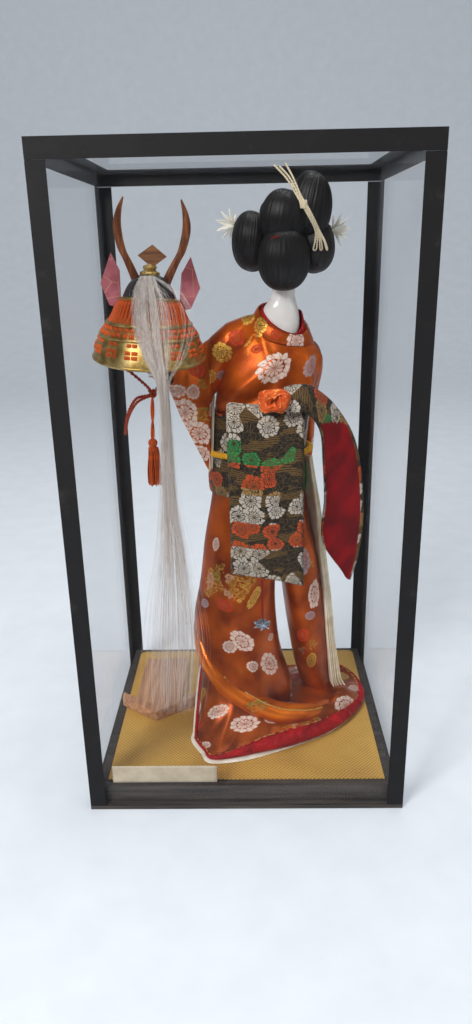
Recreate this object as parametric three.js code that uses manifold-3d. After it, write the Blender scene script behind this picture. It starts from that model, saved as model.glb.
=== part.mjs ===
// A dressed lady doll holding up a ceremonial helmet, on a plinth under a lift-off glass hood.
// Millimetres, +Z up. The origin is the middle of the base board's underside.
// The doll's back faces -Y and its face looks to +Y.
import * as THREE from "three";
import { mergeVertices } from "three/addons/utils/BufferGeometryUtils.js";
import Module from "manifold-3d";

const wasm = await Module();
wasm.setup();

// Fit between pieces that touch
const FIT = 0.3;

// Base
const BOARD_THICK = 3;
const PLINTH_THICK = 12.8;
const PLINTH_INSET = 2.5;
const BROCADE_THICK = 1;
const BROCADE_RIM = 6;
const BROCADE_CORNER = 6;

// Glass hood, sized to clear what stands on the plinth
const GLASS_THICK = 2;
const TAPE_THICK = 0.8;
const TAPE_WIDTH = 11.5;
const SIDE_ROOM = 5.4;
const DEPTH_ROOM = 27.3;
const HEAD_ROOM = 3.7;

// Notice board lying on its back
const SIGN_AT = { x: -75, y: -12 };
const SIGN_WIDTH = 39;
const SIGN_LENGTH = 80;
const SIGN_THICK = 7;
const ROOF_SPAN = 63;
const ROOF_RISE = 21;
const ROOF_THICK = 7;
const ROOF_DEPTH = 9;

// Doll's inner frame
const DOWEL_RADIUS = 3;
const DOWEL_SEAT = 9;
const DOWEL_UNDER_PEG = 16;
const WIRE_RADIUS = 1.4;

// Dressed torso: level ovals over the brocade, bottom to top
const WAIST_Z = 221;
const BUST_Z = 253;
const NAPE_Z = 328;
const SHOULDER_RISE = NAPE_Z - BUST_Z;
const TORSO_SIDES = 28;
const TORSO = [
  { z: 195, x: 15, y: 8, rx: 39, ry: 27 },
  { z: 221, x: 15, y: 8, rx: 38.5, ry: 26.5 },
  { z: BUST_Z, x: 17, y: 8, rx: 38, ry: 26 },
  { z: BUST_Z + SHOULDER_RISE * 0.333, x: 21, y: 8, rx: 38.5, ry: 25 },
  { z: BUST_Z + SHOULDER_RISE * 0.56, x: 25, y: 8, rx: 36, ry: 23 },
  { z: BUST_Z + SHOULDER_RISE * 0.733, x: 28, y: 7, rx: 29, ry: 20 },
  { z: BUST_Z + SHOULDER_RISE * 0.88, x: 30, y: 6, rx: 21.5, ry: 17.5 },
  { z: NAPE_Z, x: 31, y: 5, rx: 16.5, ry: 15.5 },
];
const BODICE_WALL = 2;
const BODICE_STEPS = 8;
const COLLAR_TILT_DEPTH = 28;
const COLLAR_DROP = 8;
const COLLAR_LEAN = 8;
const COLLAR_WALL = 1.2;
const COLLAR_SHOW = 4;

// Skirt: one wrap round each leg
const SKIRT_WALL = 1.6;
const SKIRT_LEFT = [
  { z: 0, x: 4, y: -4, rx: 34, ry: 31 },
  { z: 12, x: 3, y: -4, rx: 35, ry: 32 },
  { z: 30, x: -1, y: -4, rx: 39, ry: 34 },
  { z: 62, x: -4, y: -2, rx: 33, ry: 32 },
  { z: 102, x: -5.5, y: 0, rx: 30, ry: 29 },
  { z: 150, x: -3, y: 4, rx: 28, ry: 26 },
  { z: 195, x: -1.5, y: 8, rx: 21.5, ry: 20.3 },
  { z: 221, x: -1.5, y: 8, rx: 21.5, ry: 20.3 },
];
const SKIRT_RIGHT = [
  { z: 0, x: 66, y: 17, rx: 19, ry: 19 },
  { z: 27, x: 62, y: 16, rx: 18, ry: 19 },
  { z: 64, x: 54.5, y: 14, rx: 17.5, ry: 20 },
  { z: 137, x: 43.5, y: 11, rx: 17, ry: 20 },
  { z: 195, x: 38, y: 8, rx: 15.2, ry: 17.5 },
  { z: 221, x: 38, y: 8, rx: 15.2, ry: 17.5 },
];

// Rolled fold that sweeps down across the back of the left wrap
const ROLL_REACH = 7;
const ROLL_HALF = 11;
const ROLL_HIGH = 79;
const ROLL_LOW = 9;

// Train on the floor with its padded hem
const HEM = [
  [-43, -50],
  [-26, -73],
  [8, -67],
  [40, -56],
  [74, -32],
  [98, -6],
  [104, 18],
  [97, 48],
  [78, 66],
  [42, 62],
  [4, 48],
  [-30, 28],
  [-42, -12],
];
const TRAIN_MIDDLE = { x: 20, y: -4 };
const TRAIN_TOP = { rx: 52, ry: 33, z: 14 };
const TRAIN_EDGE = 4;
const TRAIN_FOLD = 1.6;
const TRAIN_FOLDS = 7;
const TRAIN_ROLL = 11;
const HEM_HALF_WIDTH = 4.5;
const HEM_HALF_HEIGHT = 3.2;

// Cream layered front edges down the right wrap
const EDGE_DEPTH = 5;
const EDGE_WIDTH = 11;
const EDGE_SHIFT = -2;

// Sash
const BAND_WALL = 3;
const BAND_BOTTOM = 195;
const BAND_TOP = 258;
const DRUM_MIDDLE_X = 16.5;
const DRUM_HALF_WIDTH = 26;
const DRUM_THICK = 4;
const DRUM_CROWN = 2.5;
const DRUM_SLOPE = 5;
const DRUM_LINE = [
  [-17, 263],
  [-35, 279],
  [-43, 272],
  [-46, 250],
  [-45, 225],
  [-42, 195],
  [-40, 165],
  [-39, 138],
];
const RIBBON_THICK = 1.8;
const RIBBON_EDGES = [
  [[36, -54, 268], [39, -40, 283]],
  [[46, -52, 266.5], [50, -35, 282]],
  [[55, -42, 251], [68, -30, 266]],
  [[58.5, -30, 225], [82, -34, 240]],
  [[61, -20, 195], [89, -32, 195]],
  [[60.5, -18, 160], [87.5, -30, 157]],
  [[78, -22, 134], [82.5, -24, 130]],
];
const SASH_CORD_RADIUS = 2;
const SASH_CORD_Z = 228;
const SCARF_AT = { x: 23.5, z: 276 };
const SCARF_RING = 7.5;
const SCARF_RADIUS = 3.2;
const SCARF_SINK = 3;

// Pendant on its string under the drum
const PENDANT_X = 14;
const STRING_RADIUS = 0.7;
const STRING_LENGTH = 30;
const CHARM_RADIUS = 7;
const CHARM_THICK = 3;

// Sleeves: stations along the arm, each a drop-shaped section that falls from the nape's level
const SLEEVE_LEFT = [
  { x: 14, y: 6, fall: 0, drop: 28, high: 8, low: 7, sway: 0 },
  { x: 4, y: 8, fall: 2, drop: 36, high: 13, low: 10, sway: 0 },
  { x: -10, y: 8, fall: 7, drop: 40, high: 13.5, low: 7, sway: 0 },
  { x: -21, y: 8, fall: 16, drop: 42, high: 12, low: 5, sway: -9 },
  { x: -24, y: 8, fall: 19, drop: 95, high: 12, low: 3.5, sway: -15 },
  { x: -34, y: 4, fall: 26, drop: 66, high: 11, low: 3.5, sway: -12 },
  { x: -44, y: -2, fall: 30, drop: 41, high: 9.5, low: 3.5, sway: -7 },
  { x: -52, y: -8, fall: 33, drop: 14, high: 7, low: 5, sway: 0 },
];
const SLEEVE_RIGHT = [
  { x: 40, y: 8, fall: 17, drop: 23, high: 10, low: 8, sway: 0 },
  { x: 50, y: 14, fall: 20, drop: 40, high: 12, low: 7, sway: 0 },
  { x: 54, y: 30, fall: 29, drop: 93, high: 11, low: 3.5, sway: 6 },
  { x: 47, y: 44, fall: 34, drop: 78, high: 10, low: 3.5, sway: 4 },
  { x: 33, y: 51, fall: 39, drop: 25, high: 8, low: 5, sway: 0 },
];
const ARM_DEPTH = 8;
const ARM_ROOT_LEFT = { x: 8, y: 8, fall: 34 };
const ARM_ROOT_RIGHT = { x: 38, y: 8, fall: 41 };
const ARM_END_RIGHT = { x: 16, y: 54 };
const HAND_LENGTH = 22;
const HAND_HALF_WIDTH = 4.6;
const HAND_HALF_THICK = 2.9;

// Head, turned from the neck's own axis
const NECK_SINK = 24;
const NECK_AT = { x: 33, y: 5, z: NAPE_Z - NECK_SINK };
const PEG_RADIUS = 5;
const PEG_LENGTH = 26;
const NECK_LINE = [
  [10.4, 0.5],
  [10.2, 8],
  [9.2, 17],
  [8.4, 28],
  [8.3, 44],
  [9, 56],
];
const SKULL = { x: 0, y: 6, z: 71, rx: 17, ry: 20, rz: 25 };
const HAIR = {
  hair_side_left: { x: -24, y: 2, z: 73, rx: 13.5, ry: 18, rz: 20 },
  hair_side_right: { x: 21, y: 2, z: 69, rx: 13.5, ry: 18, rz: 18 },
  hair_chignon: { x: -2, y: -16, z: 61, rx: 18, ry: 14, rz: 20.5 },
  hair_front: { x: 0, y: 15, z: 91, rx: 18, ry: 15, rz: 13 },
};
const TOPKNOT_LEFT = { x: -2, y: -9, z: 87, rx: 16, ry: 14, rz: 19 };
const TOPKNOT_RIGHT = { x: 17, y: -5, z: 95, rx: 14, ry: 14, rz: 22 };
const PAPER_CORD_RADIUS = 1.3;
const PAPER_CORD_LINE = [
  [-5, -15, 121],
  [2, -15.5, 112],
  [8, -16.4, 101],
  [14, -19.6, 91],
  [20, -16.6, 80],
  [22, -17.2, 72],
];
const FLOWER_RADIUS = 9;
const FLOWER_THICK = 3;
const FLOWER_PETALS = 6;

// Helmet, carried on the left arm's wire
const HELMET_AT = { x: -61.6, y: -25, z: NAPE_Z };
const HELMET_LEAN = 3.7;
const BOWL_RADIUS = 20;
const BOWL_HEIGHT = 30;
const BOWL_WALL = 2;
const GUARD_TOP_Z = 2;
const GUARD_RADIUS = 39.5;
const GUARD_DROP = 27;
const GUARD_TAIL = 4;
const GUARD_WALL = 1.6;
const GUARD_TIERS = 3;
const GUARD_TIER_STEP = 1.2;
const GUARD_HALF_ANGLE = 118;
const PLATE = 1.5;
const HORN_OUT = [
  [12, 13],
  [23, 38],
  [25.8, 57],
  [20.2, 77.3],
];
const HORN_IN = [
  [18.8, 76.5],
  [19.2, 57.5],
  [14.5, 42],
  [5, 22],
];
const HORN_Y = 9;
const CREST_HALF_WIDTH = 10;
const CREST_HALF_HEIGHT = 7.5;
const CREST_Z = 41;
const CREST_STEM = 5;
const CREST_Y = 13;
const WING_OUTLINE = [
  [BOWL_RADIUS - 0.2, 6],
  [BOWL_RADIUS + 8, 8],
  [BOWL_RADIUS + 14, 22],
  [BOWL_RADIUS + 7, 42],
  [BOWL_RADIUS + 1, 31],
];
const WING_Y = 4;
const FINIAL_RADIUS = 5.5;
const FINIAL_HEIGHT = 6;
const MANE = [
  { z: 29, x: 2, y: -8.8, rx: 5, ry: 1.8 },
  { z: 22, x: 5, y: -16.2, rx: 13, ry: 1.9 },
  { z: 14, x: 8, y: -21.7, rx: 19, ry: 2 },
  { z: 4, x: 9.5, y: -26.2, rx: 20, ry: 2 },
  { z: -9, x: 10.5, y: -32.7, rx: 16, ry: 2.2 },
  { z: -21, x: 11, y: -39.2, rx: 9, ry: 2.6 },
  { z: -31, x: 11.5, y: -44.5, rx: 4.5, ry: 3 },
  { z: -83, x: 11.5, y: -44.5, rx: 4.5, ry: 3.5 },
  { z: -122, x: 12, y: -44.5, rx: 8, ry: 4 },
  { z: -200, x: 12, y: -44.5, rx: 15, ry: 5 },
  { z: -241, x: 9, y: -44.5, rx: 18, ry: 5 },
  { z: -283, x: 6, y: -44.5, rx: 17, ry: 3.5 },
];
const CORD_RADIUS = 1.2;
const KNOT_AT = [-1, 0, -51];
const KNOT_RADIUS = 3;
const CORD_LEFT = { angle: -46, share: 0.75, bend: [-10, -9, -38] };
const CORD_RIGHT = { angle: 50, share: 0.72, bend: [8, -6, -39] };
const CORD_LOOP = [
  KNOT_AT,
  [-13, 2, -55],
  [-20, 2, -67],
  [-22, 0, -80],
  [-19, -2, -68],
  [-12, -2, -57],
  KNOT_AT,
];
const TASSEL_RADIUS = 5;
const TASSEL_LENGTH = 35;
const TASSEL_DROP = 33;
const TASSEL_HEAD = 6;

// Colours
const paint = (color, roughness = 0.6) => new THREE.MeshStandardMaterial({ color, roughness });
const BLACK = paint(0x16120f);
const GOLD = paint(0xc9a24a, 0.35);
const PAPER = paint(0xb08a3c);
const WOOD = paint(0xc99a78);
const SKIN = paint(0xf4efe6, 0.35);
const HAIR_BLACK = paint(0x1b1512, 0.4);
const ORANGE = paint(0xd8641e, 0.4);
const RED = paint(0xa8231c);
const CREAM = paint(0xe9dcc0);
const SASH = paint(0x2c2520);
const COPPER = paint(0x7a4a2c, 0.4);
const PALE_HAIR = paint(0xd9d4c6, 0.8);
const SILVER = paint(0xb9c4cf, 0.3);
const GLASS = new THREE.MeshPhysicalMaterial({ color: 0xeef6f4, transparent: true, opacity: 0.15 });

// General shapes

const { lerp, smoothstep } = THREE.MathUtils;
const turn = (share) => share * Math.PI * 2;
const at = ([x, y, z]) => new THREE.Vector3(x, y, z);
const count = (n) => Array.from({ length: n }, (unused, i) => i);

// Closed geometry of points and triangles, turned so that its faces point out.
function closed(points, faces) {
  let volume = 0;
  for (const [a, b, c] of faces) {
    volume += points[a].dot(points[b].clone().cross(points[c]));
  }
  const index = faces.flatMap(([a, b, c]) => (volume > 0 ? [a, b, c] : [a, c, b]));
  return new THREE.BufferGeometry().setFromPoints(points).setIndex(index);
}

// Triangles of a grid; its rows close on themselves when wrapped.
function gridFaces(rows, columns, start, wrapped) {
  const faces = [];
  for (let i = 0; i < rows - 1; i++) {
    for (let j = 0; j < (wrapped ? columns : columns - 1); j++) {
      const a = start + i * columns + j;
      const b = start + i * columns + ((j + 1) % columns);
      faces.push([a, b, b + columns], [a, b + columns, a + columns]);
    }
  }
  return faces;
}

// Solid skin over a stack of rings, with a fan over each end.
function stack(rings) {
  const sides = rings[0].length;
  const points = rings.flat();
  const faces = gridFaces(rings.length, sides, 0, true);
  for (const row of [0, rings.length - 1]) {
    const hub = points.length;
    const middle = new THREE.Vector3();
    rings[row].forEach((point) => middle.addScaledVector(point, 1 / sides));
    points.push(middle);
    for (let j = 0; j < sides; j++) {
      const a = row * sides + j;
      const b = row * sides + ((j + 1) % sides);
      faces.push(row === 0 ? [b, a, hub] : [a, b, hub]);
    }
  }
  return closed(points, faces);
}

// Wall between an outer and an inner stack of rings, open at both ends.
function wall(outer, inner) {
  const rows = outer.length;
  const sides = outer[0].length;
  const inside = rows * sides;
  const faces = gridFaces(rows, sides, 0, true);
  for (const [a, b, c] of gridFaces(rows, sides, inside, true)) {
    faces.push([a, c, b]);
  }
  for (let j = 0; j < sides; j++) {
    const n = (j + 1) % sides;
    const top = inside - sides;
    faces.push([n, j, inside + j], [n, inside + j, inside + n]);
    faces.push([top + j, top + n, inside + top + n]);
    faces.push([top + j, inside + top + n, inside + top + j]);
  }
  return closed([...outer.flat(), ...inner.flat()], faces);
}

// Closed loop of cross-section rings, such as a hoop.
function hoop(rings) {
  const faces = gridFaces(rings.length + 1, rings[0].length, 0, true);
  const total = rings.length * rings[0].length;
  return closed(rings.flat(), faces.map((face) => face.map((corner) => corner % total)));
}

// Sheet of even thickness over an open grid of points.
function slab(grid, thick) {
  const rows = grid.length;
  const columns = grid[0].length;
  const normalAt = (i, j) => {
    const down = grid[Math.min(i + 1, rows - 1)][j].clone().sub(grid[Math.max(i - 1, 0)][j]);
    const along = grid[i][Math.min(j + 1, columns - 1)].clone().sub(grid[i][Math.max(j - 1, 0)]);
    return along.cross(down).normalize();
  };
  const offset = (by) =>
    grid.flatMap((row, i) => row.map((p, j) => p.clone().addScaledVector(normalAt(i, j), by)));
  const back = rows * columns;
  const faces = gridFaces(rows, columns, 0, false);
  for (const [a, b, c] of gridFaces(rows, columns, back, false)) {
    faces.push([a, c, b]);
  }
  const rim = [
    ...count(columns - 1),
    ...count(rows - 1).map((i) => i * columns + columns - 1),
    ...count(columns - 1).map((j) => back - 1 - j),
    ...count(rows - 1).map((i) => (rows - 1 - i) * columns),
  ];
  rim.forEach((p, i) => {
    const q = rim[(i + 1) % rim.length];
    faces.push([q, p, back + p], [q, back + p, back + q]);
  });
  return closed([...offset(thick / 2), ...offset(-thick / 2)], faces);
}

// Section of a short list at one height, smoothed between the ones given.
function sectionAt(list, z) {
  const keys = ["x", "y", "rx", "ry"];
  const h = Math.min(Math.max(z, list[0].z), list[list.length - 1].z);
  let i = 0;
  while (i < list.length - 2 && h > list[i + 1].z) {
    i++;
  }
  const near = (k) => list[Math.min(Math.max(k, 0), list.length - 1)];
  const span = list[i + 1].z - list[i].z;
  const t = (h - list[i].z) / span;
  const slope = (k, key) => (near(k + 1)[key] - near(k - 1)[key]) / (near(k + 1).z - near(k - 1).z);
  const blend = (key) =>
    list[i][key] * (2 * t ** 3 - 3 * t ** 2 + 1) +
    list[i + 1][key] * (3 * t ** 2 - 2 * t ** 3) +
    slope(i, key) * span * (t ** 3 - 2 * t ** 2 + t) +
    slope(i + 1, key) * span * (t ** 3 - t ** 2);
  return Object.fromEntries(keys.map((key) => [key, blend(key)]));
}

// Level oval ring; lift gives each angle its own height and reach its own swell.
function oval(s, z, grow, sides, lift = () => 0, reach = () => 0) {
  return count(sides).map((j) => {
    const angle = turn(j / sides);
    const out = grow + reach(angle);
    const x = s.x + (s.rx + out) * Math.cos(angle);
    const y = s.y + (s.ry + out) * Math.sin(angle);
    return new THREE.Vector3(x, y, z + lift(angle));
  });
}

const levels = (from, to, steps) => count(steps + 1).map((i) => lerp(from, to, i / steps));

// Round bar along a smooth line of points.
function bar(line, radius, sides = 8, steps = 14) {
  const outline = count(sides).map((j) => {
    const angle = turn(j / sides);
    return new THREE.Vector2(radius * Math.cos(angle), radius * Math.sin(angle));
  });
  const path = new THREE.CatmullRomCurve3(line.map(at), false, "centripetal");
  const options = { steps, bevelEnabled: false, extrudePath: path };
  return new THREE.ExtrudeGeometry(new THREE.Shape(outline), options);
}

// Upright peg between two heights.
function peg(x, y, bottom, top, radius, sides = 16) {
  const shape = new THREE.CylinderGeometry(radius, radius, top - bottom, sides);
  return shape.rotateX(Math.PI / 2).translate(x, y, (top + bottom) / 2);
}

// Egg-shaped ball, grown evenly where a neighbour needs clearance.
function ball(s, grow = 0, sides = 16, rows = 10) {
  const shape = new THREE.SphereGeometry(1, sides, rows).rotateX(Math.PI / 2);
  return shape.scale(s.rx + grow, s.ry + grow, s.rz + grow).translate(s.x, s.y, s.z);
}

// Flat plate from an outline in X and Z, standing at one Y.
function plate(outline, y, thick) {
  const shape = new THREE.Shape(outline.map(([x, z]) => new THREE.Vector2(x, z)));
  const made = new THREE.ExtrudeGeometry(shape, { depth: thick, bevelEnabled: false });
  return made.rotateX(Math.PI / 2).translate(0, y + thick / 2, 0);
}

// Block between two opposite corners.
function block(from, to) {
  const size = from.map((low, i) => Math.abs(to[i] - low));
  const middle = from.map((low, i) => (to[i] + low) / 2);
  return new THREE.BoxGeometry(...size).translate(...middle);
}

// Boolean work
function toSolid(geometry) {
  const bare = new THREE.BufferGeometry().setAttribute("position", geometry.getAttribute("position"));
  if (geometry.index) {
    bare.setIndex(geometry.index);
  }
  const merged = mergeVertices(bare, 1e-3);
  const vertProperties = new Float32Array(merged.attributes.position.array);
  const triVerts = new Uint32Array(merged.index.array);
  return new wasm.Manifold(new wasm.Mesh({ numProp: 3, vertProperties, triVerts }));
}

function toGeometry(solid) {
  const mesh = solid.getMesh();
  const geometry = new THREE.BufferGeometry();
  geometry.setAttribute("position", new THREE.BufferAttribute(mesh.vertProperties, 3));
  return geometry.setIndex(new THREE.BufferAttribute(mesh.triVerts, 1));
}

function cut(geometry, ...tools) {
  return toGeometry(tools.reduce((left, tool) => left.subtract(toSolid(tool)), toSolid(geometry)));
}

function join(geometry, ...more) {
  return toGeometry(more.reduce((sum, next) => sum.add(toSolid(next)), toSolid(geometry)));
}

function put(group, name, geometry, material) {
  const mesh = new THREE.Mesh(geometry, material);
  mesh.name = name;
  group.add(mesh);
  return mesh;
}

function groupAt(name, { x = 0, y = 0, z = 0 } = {}) {
  const group = new THREE.Group();
  group.name = name;
  group.position.set(x, y, z);
  return group;
}

// Doll's inner frame

const torsoRings = (heights, grow) =>
  heights.map((z) =>
    oval(sectionAt(TORSO, z), z, grow, TORSO_SIDES, (angle) => {
      const tilt = smoothstep(z, NAPE_Z - COLLAR_TILT_DEPTH, NAPE_Z);
      return tilt * (COLLAR_DROP * Math.sin(angle) - COLLAR_LEAN * Math.cos(angle));
    }),
  );

// Leg dowel down the middle of its skirt wrap, from the torso into the plinth.
function dowel(wrap, grow = 0) {
  const foot = wrap[0];
  const hip = wrap[wrap.length - 1];
  const pointAt = (z) => {
    const share = (z - foot.z) / (hip.z - foot.z);
    return [lerp(foot.x, hip.x, share), lerp(foot.y, hip.y, share), z];
  };
  const seat = -BROCADE_THICK - FIT - DOWEL_SEAT;
  const top = NECK_AT.z - PEG_LENGTH - DOWEL_UNDER_PEG;
  return bar([pointAt(seat - grow), pointAt(top + grow)], DOWEL_RADIUS + grow, 12, 1);
}

// Point on the helmet's leaning axis, at a distance from the foot of its bowl.
function helmetAxisAt(distance) {
  const lean = THREE.MathUtils.degToRad(HELMET_LEAN);
  const { x, y, z } = HELMET_AT;
  return [x + distance * Math.sin(lean), y, z + distance * Math.cos(lean)];
}

// Line of an arm's wire: out of the torso, down its sleeve and on to what it carries.
const underNape = ({ x, y, fall }, depth = 0) => [x, y, NAPE_Z - fall - depth];
const armLineLeft = [
  underNape(ARM_ROOT_LEFT),
  ...SLEEVE_LEFT.slice(2).map((station) => underNape(station, ARM_DEPTH)),
  [HELMET_AT.x + 1.5, HELMET_AT.y + 3, HELMET_AT.z - 34],
  helmetAxisAt(-24),
  helmetAxisAt(0),
  helmetAxisAt(BOWL_HEIGHT - BOWL_WALL - 2 * FIT),
];
const armLineRight = [
  underNape(ARM_ROOT_RIGHT),
  ...SLEEVE_RIGHT.slice(1).map((station) => underNape(station, ARM_DEPTH)),
  underNape({ ...ARM_END_RIGHT, fall: SLEEVE_RIGHT.at(-1).fall }, ARM_DEPTH),
];
const armWire = (line, grow = 0) => bar(line, WIRE_RADIUS + grow, 6, 20);

const neckPeg = (grow = 0) =>
  peg(NECK_AT.x, NECK_AT.y, NECK_AT.z - PEG_LENGTH - grow, NECK_AT.z + 1, PEG_RADIUS + grow, 20);

const armHoles = () => [armWire(armLineLeft, FIT), armWire(armLineRight, FIT)];

function torsoCore() {
  const rings = torsoRings(levels(WAIST_Z + FIT, NECK_AT.z - FIT, 5), -BODICE_WALL - 3 * FIT);
  const holes = [dowel(SKIRT_LEFT, FIT), dowel(SKIRT_RIGHT, FIT), neckPeg(FIT)];
  return cut(stack(rings), ...holes, ...armHoles());
}

// Hand as a slim mitten with its thumb, along one direction from the wrist.
function hand(wrist, along) {
  const shares = [
    [0, 0.7, 0.95],
    [0.18, 0.85, 1],
    [0.45, 1, 1],
    [0.75, 0.85, 0.75],
    [0.95, 0.6, 0.5],
    [1, 0.3, 0.3],
  ];
  const forward = at(along).normalize();
  const across = new THREE.Vector3(0, 0, 1).cross(forward).normalize();
  const upward = forward.clone().cross(across);
  const rings = shares.map(([share, wide, thick]) =>
    count(12).map((j) => {
      const angle = turn(j / 12);
      const point = at(wrist).addScaledVector(forward, share * HAND_LENGTH);
      point.addScaledVector(across, HAND_HALF_THICK * thick * Math.cos(angle));
      return point.addScaledVector(upward, HAND_HALF_WIDTH * wide * Math.sin(angle));
    }),
  );
  return stack(rings);
}

// Kimono

const bodiceRings = (grow) => torsoRings(levels(WAIST_Z, NAPE_Z, BODICE_STEPS), grow);

function bodice() {
  return cut(wall(bodiceRings(0), bodiceRings(-BODICE_WALL)), ...armHoles());
}

function innerCollar() {
  const grow = -BODICE_WALL - FIT;
  const heights = [lerp(WAIST_Z, NAPE_Z, 1 - 1 / BODICE_STEPS), NAPE_Z, NAPE_Z + COLLAR_SHOW];
  return wall(torsoRings(heights, grow), torsoRings(heights, grow - COLLAR_WALL));
}

// Sleeve: drop-shaped sections that hang from the line of the arm.
function sleeve(stations) {
  const sides = 20;
  const rings = stations.map((s, i) => {
    const before = stations[Math.max(i - 1, 0)];
    const after = stations[Math.min(i + 1, stations.length - 1)];
    const along = new THREE.Vector2(after.x - before.x, after.y - before.y).normalize();
    const top = NAPE_Z - s.fall;
    return count(sides).map((j) => {
      const angle = turn(j / sides);
      const height = (1 - Math.cos(angle)) / 2;
      const middle = lerp(top - s.drop, top, height);
      const belly = Math.sign(Math.sin(angle)) * Math.abs(Math.sin(angle)) ** 0.7;
      const share = smoothstep(middle, top - 45, top - 8);
      const half = belly * lerp(s.low, s.high, share);
      const y = s.y + s.sway * (1 - share);
      return new THREE.Vector3(s.x - along.y * half, y + along.x * half, middle);
    });
  });
  return stack(rings);
}

// Sleeve fitted outside the bodice, the corded sash and the skirt, with a way through for the arm.
function fittedSleeve(stations, arm) {
  const corded = FIT + BAND_WALL + 2 * FIT + 2 * SASH_CORD_RADIUS + FIT;
  const inside = [stack(bodiceRings(FIT)), stack(bandRings(corded)), stack(skirtLeftRings(FIT))];
  return cut(sleeve(stations), ...inside, armWire(arm, FIT));
}

// Rolled fold: a swell along a line that falls round the back of the left wrap.
function rollReach(z) {
  return (angle) => {
    const share = (angle - Math.PI) / (Math.PI * 0.85);
    const line = lerp(ROLL_HIGH, ROLL_LOW, Math.min(Math.max(share, 0), 1) ** 0.75);
    const fade = smoothstep(share, -0.12, 0.05) * (1 - smoothstep(share, 0.85, 1.05));
    return ROLL_REACH * fade * Math.exp(-(((z - line) / ROLL_HALF) ** 2));
  };
}

const skirtRings = (list, grow, reachAt = () => undefined, sides = 28) =>
  [FIT, 10, 22, 36, 50, 65, 85, 115, 155, 195, WAIST_Z - FIT].map((z) =>
    oval(sectionAt(list, z), z, grow, sides, undefined, reachAt(z)),
  );

const skirtLeftRings = (grow) => skirtRings(SKIRT_LEFT, grow, rollReach);
const skirtRightRings = (grow) => skirtRings(SKIRT_RIGHT, grow, undefined, 20);

// Hem outline pulled in towards the train's middle by one width.
function hemLine(inset, sides) {
  const curve = new THREE.CatmullRomCurve3(HEM.map(([x, y]) => at([x, y, 0])), true, "centripetal");
  const middle = at([TRAIN_MIDDLE.x, TRAIN_MIDDLE.y, 0]);
  return count(sides).map((j) => {
    const point = curve.getPoint(j / sides);
    const outward = point.clone().sub(middle);
    return point.addScaledVector(outward, -inset / outward.length());
  });
}

function train() {
  const sides = 44;
  const hem = hemLine(2 * HEM_HALF_WIDTH + FIT, sides);
  const ring = (share, z, fold) =>
    hem.map((point, j) => {
      const dx = point.x - TRAIN_MIDDLE.x;
      const dy = point.y - TRAIN_MIDDLE.y;
      const angle = Math.atan2(dy / TRAIN_TOP.ry, dx / TRAIN_TOP.rx);
      const x = lerp(point.x, TRAIN_MIDDLE.x + TRAIN_TOP.rx * Math.cos(angle), share);
      const y = lerp(point.y, TRAIN_MIDDLE.y + TRAIN_TOP.ry * Math.sin(angle), share);
      const behind = Math.max(Math.cos(angle + Math.PI * 0.36), 0) ** 2;
      const ripple = fold * (1 + Math.sin(turn((j / sides) * TRAIN_FOLDS)));
      return at([x, y, z + ripple + TRAIN_ROLL * behind * smoothstep(share, 0.5, 0.9)]);
    });
  const rise = (share) => lerp(TRAIN_EDGE, TRAIN_TOP.z, share ** 1.6);
  const rings = [ring(0, FIT, 0), ring(0, TRAIN_EDGE, 0)];
  for (const share of [0.3, 0.6, 0.85]) {
    rings.push(ring(share, rise(share), TRAIN_FOLD));
  }
  rings.push(ring(1, TRAIN_TOP.z, 0));
  return cut(stack(rings), stack(skirtLeftRings(FIT)), stack(skirtRightRings(FIT)), paddedHem(FIT));
}

function paddedHem(grow = 0) {
  const sides = 44;
  const line = hemLine(HEM_HALF_WIDTH, sides);
  const rings = line.map((point, i) => {
    const along = line[(i + 1) % sides].clone().sub(line[(i + sides - 1) % sides]).normalize();
    const out = new THREE.Vector3(along.y, -along.x, 0);
    return count(8).map((j) => {
      const angle = turn(j / 8);
      const z = FIT + HEM_HALF_HEIGHT + (HEM_HALF_HEIGHT + grow) * Math.sin(angle);
      return point.clone().setZ(z).addScaledVector(out, (HEM_HALF_WIDTH + grow) * Math.cos(angle));
    });
  });
  return hoop(rings);
}

function frontEdges() {
  const rings = levels(TRAIN_TOP.z + TRAIN_FOLD * 2 + FIT, BAND_BOTTOM - FIT, 9).map((z) => {
    const s = sectionAt(SKIRT_RIGHT, z);
    const x = s.x + s.rx + FIT + EDGE_DEPTH / 2;
    return oval({ x, y: s.y + EDGE_SHIFT, rx: EDGE_DEPTH / 2, ry: EDGE_WIDTH / 2 }, z, 0, 12);
  });
  return stack(rings);
}

// Sash

const bandRings = (grow) => torsoRings(levels(BAND_BOTTOM, BAND_TOP, 3), grow);
const waistBand = () => wall(bandRings(FIT + BAND_WALL), bandRings(FIT));

// Depth of the drum's middle line at one row and column.
function drumGrid() {
  const curve = new THREE.CatmullRomCurve3(DRUM_LINE.map(([y, z]) => at([0, y, z])), false, "centripetal");
  return curve.getPoints(14).map((point, i) =>
    levels(-1, 1, 4).map((share) => {
      const y = point.y - DRUM_CROWN * (1 - share ** 2);
      const z = point.z - (i / 14) ** 2 * DRUM_SLOPE * share;
      return at([DRUM_MIDDLE_X + DRUM_HALF_WIDTH * share, y, z]);
    }),
  );
}

const drum = (grow = 0) => slab(drumGrid(), DRUM_THICK + 2 * grow);

function ribbon() {
  const edge = (side) =>
    new THREE.CatmullRomCurve3(RIBBON_EDGES.map((pair) => at(pair[side])), false, "centripetal").getPoints(20);
  const [inner, outer] = [edge(0), edge(1)];
  const rows = inner.map((p, i) => levels(0, 1, 4).map((t) => p.clone().lerp(outer[i], t)));
  return cut(slab(rows, RIBBON_THICK), drum(FIT));
}

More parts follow.
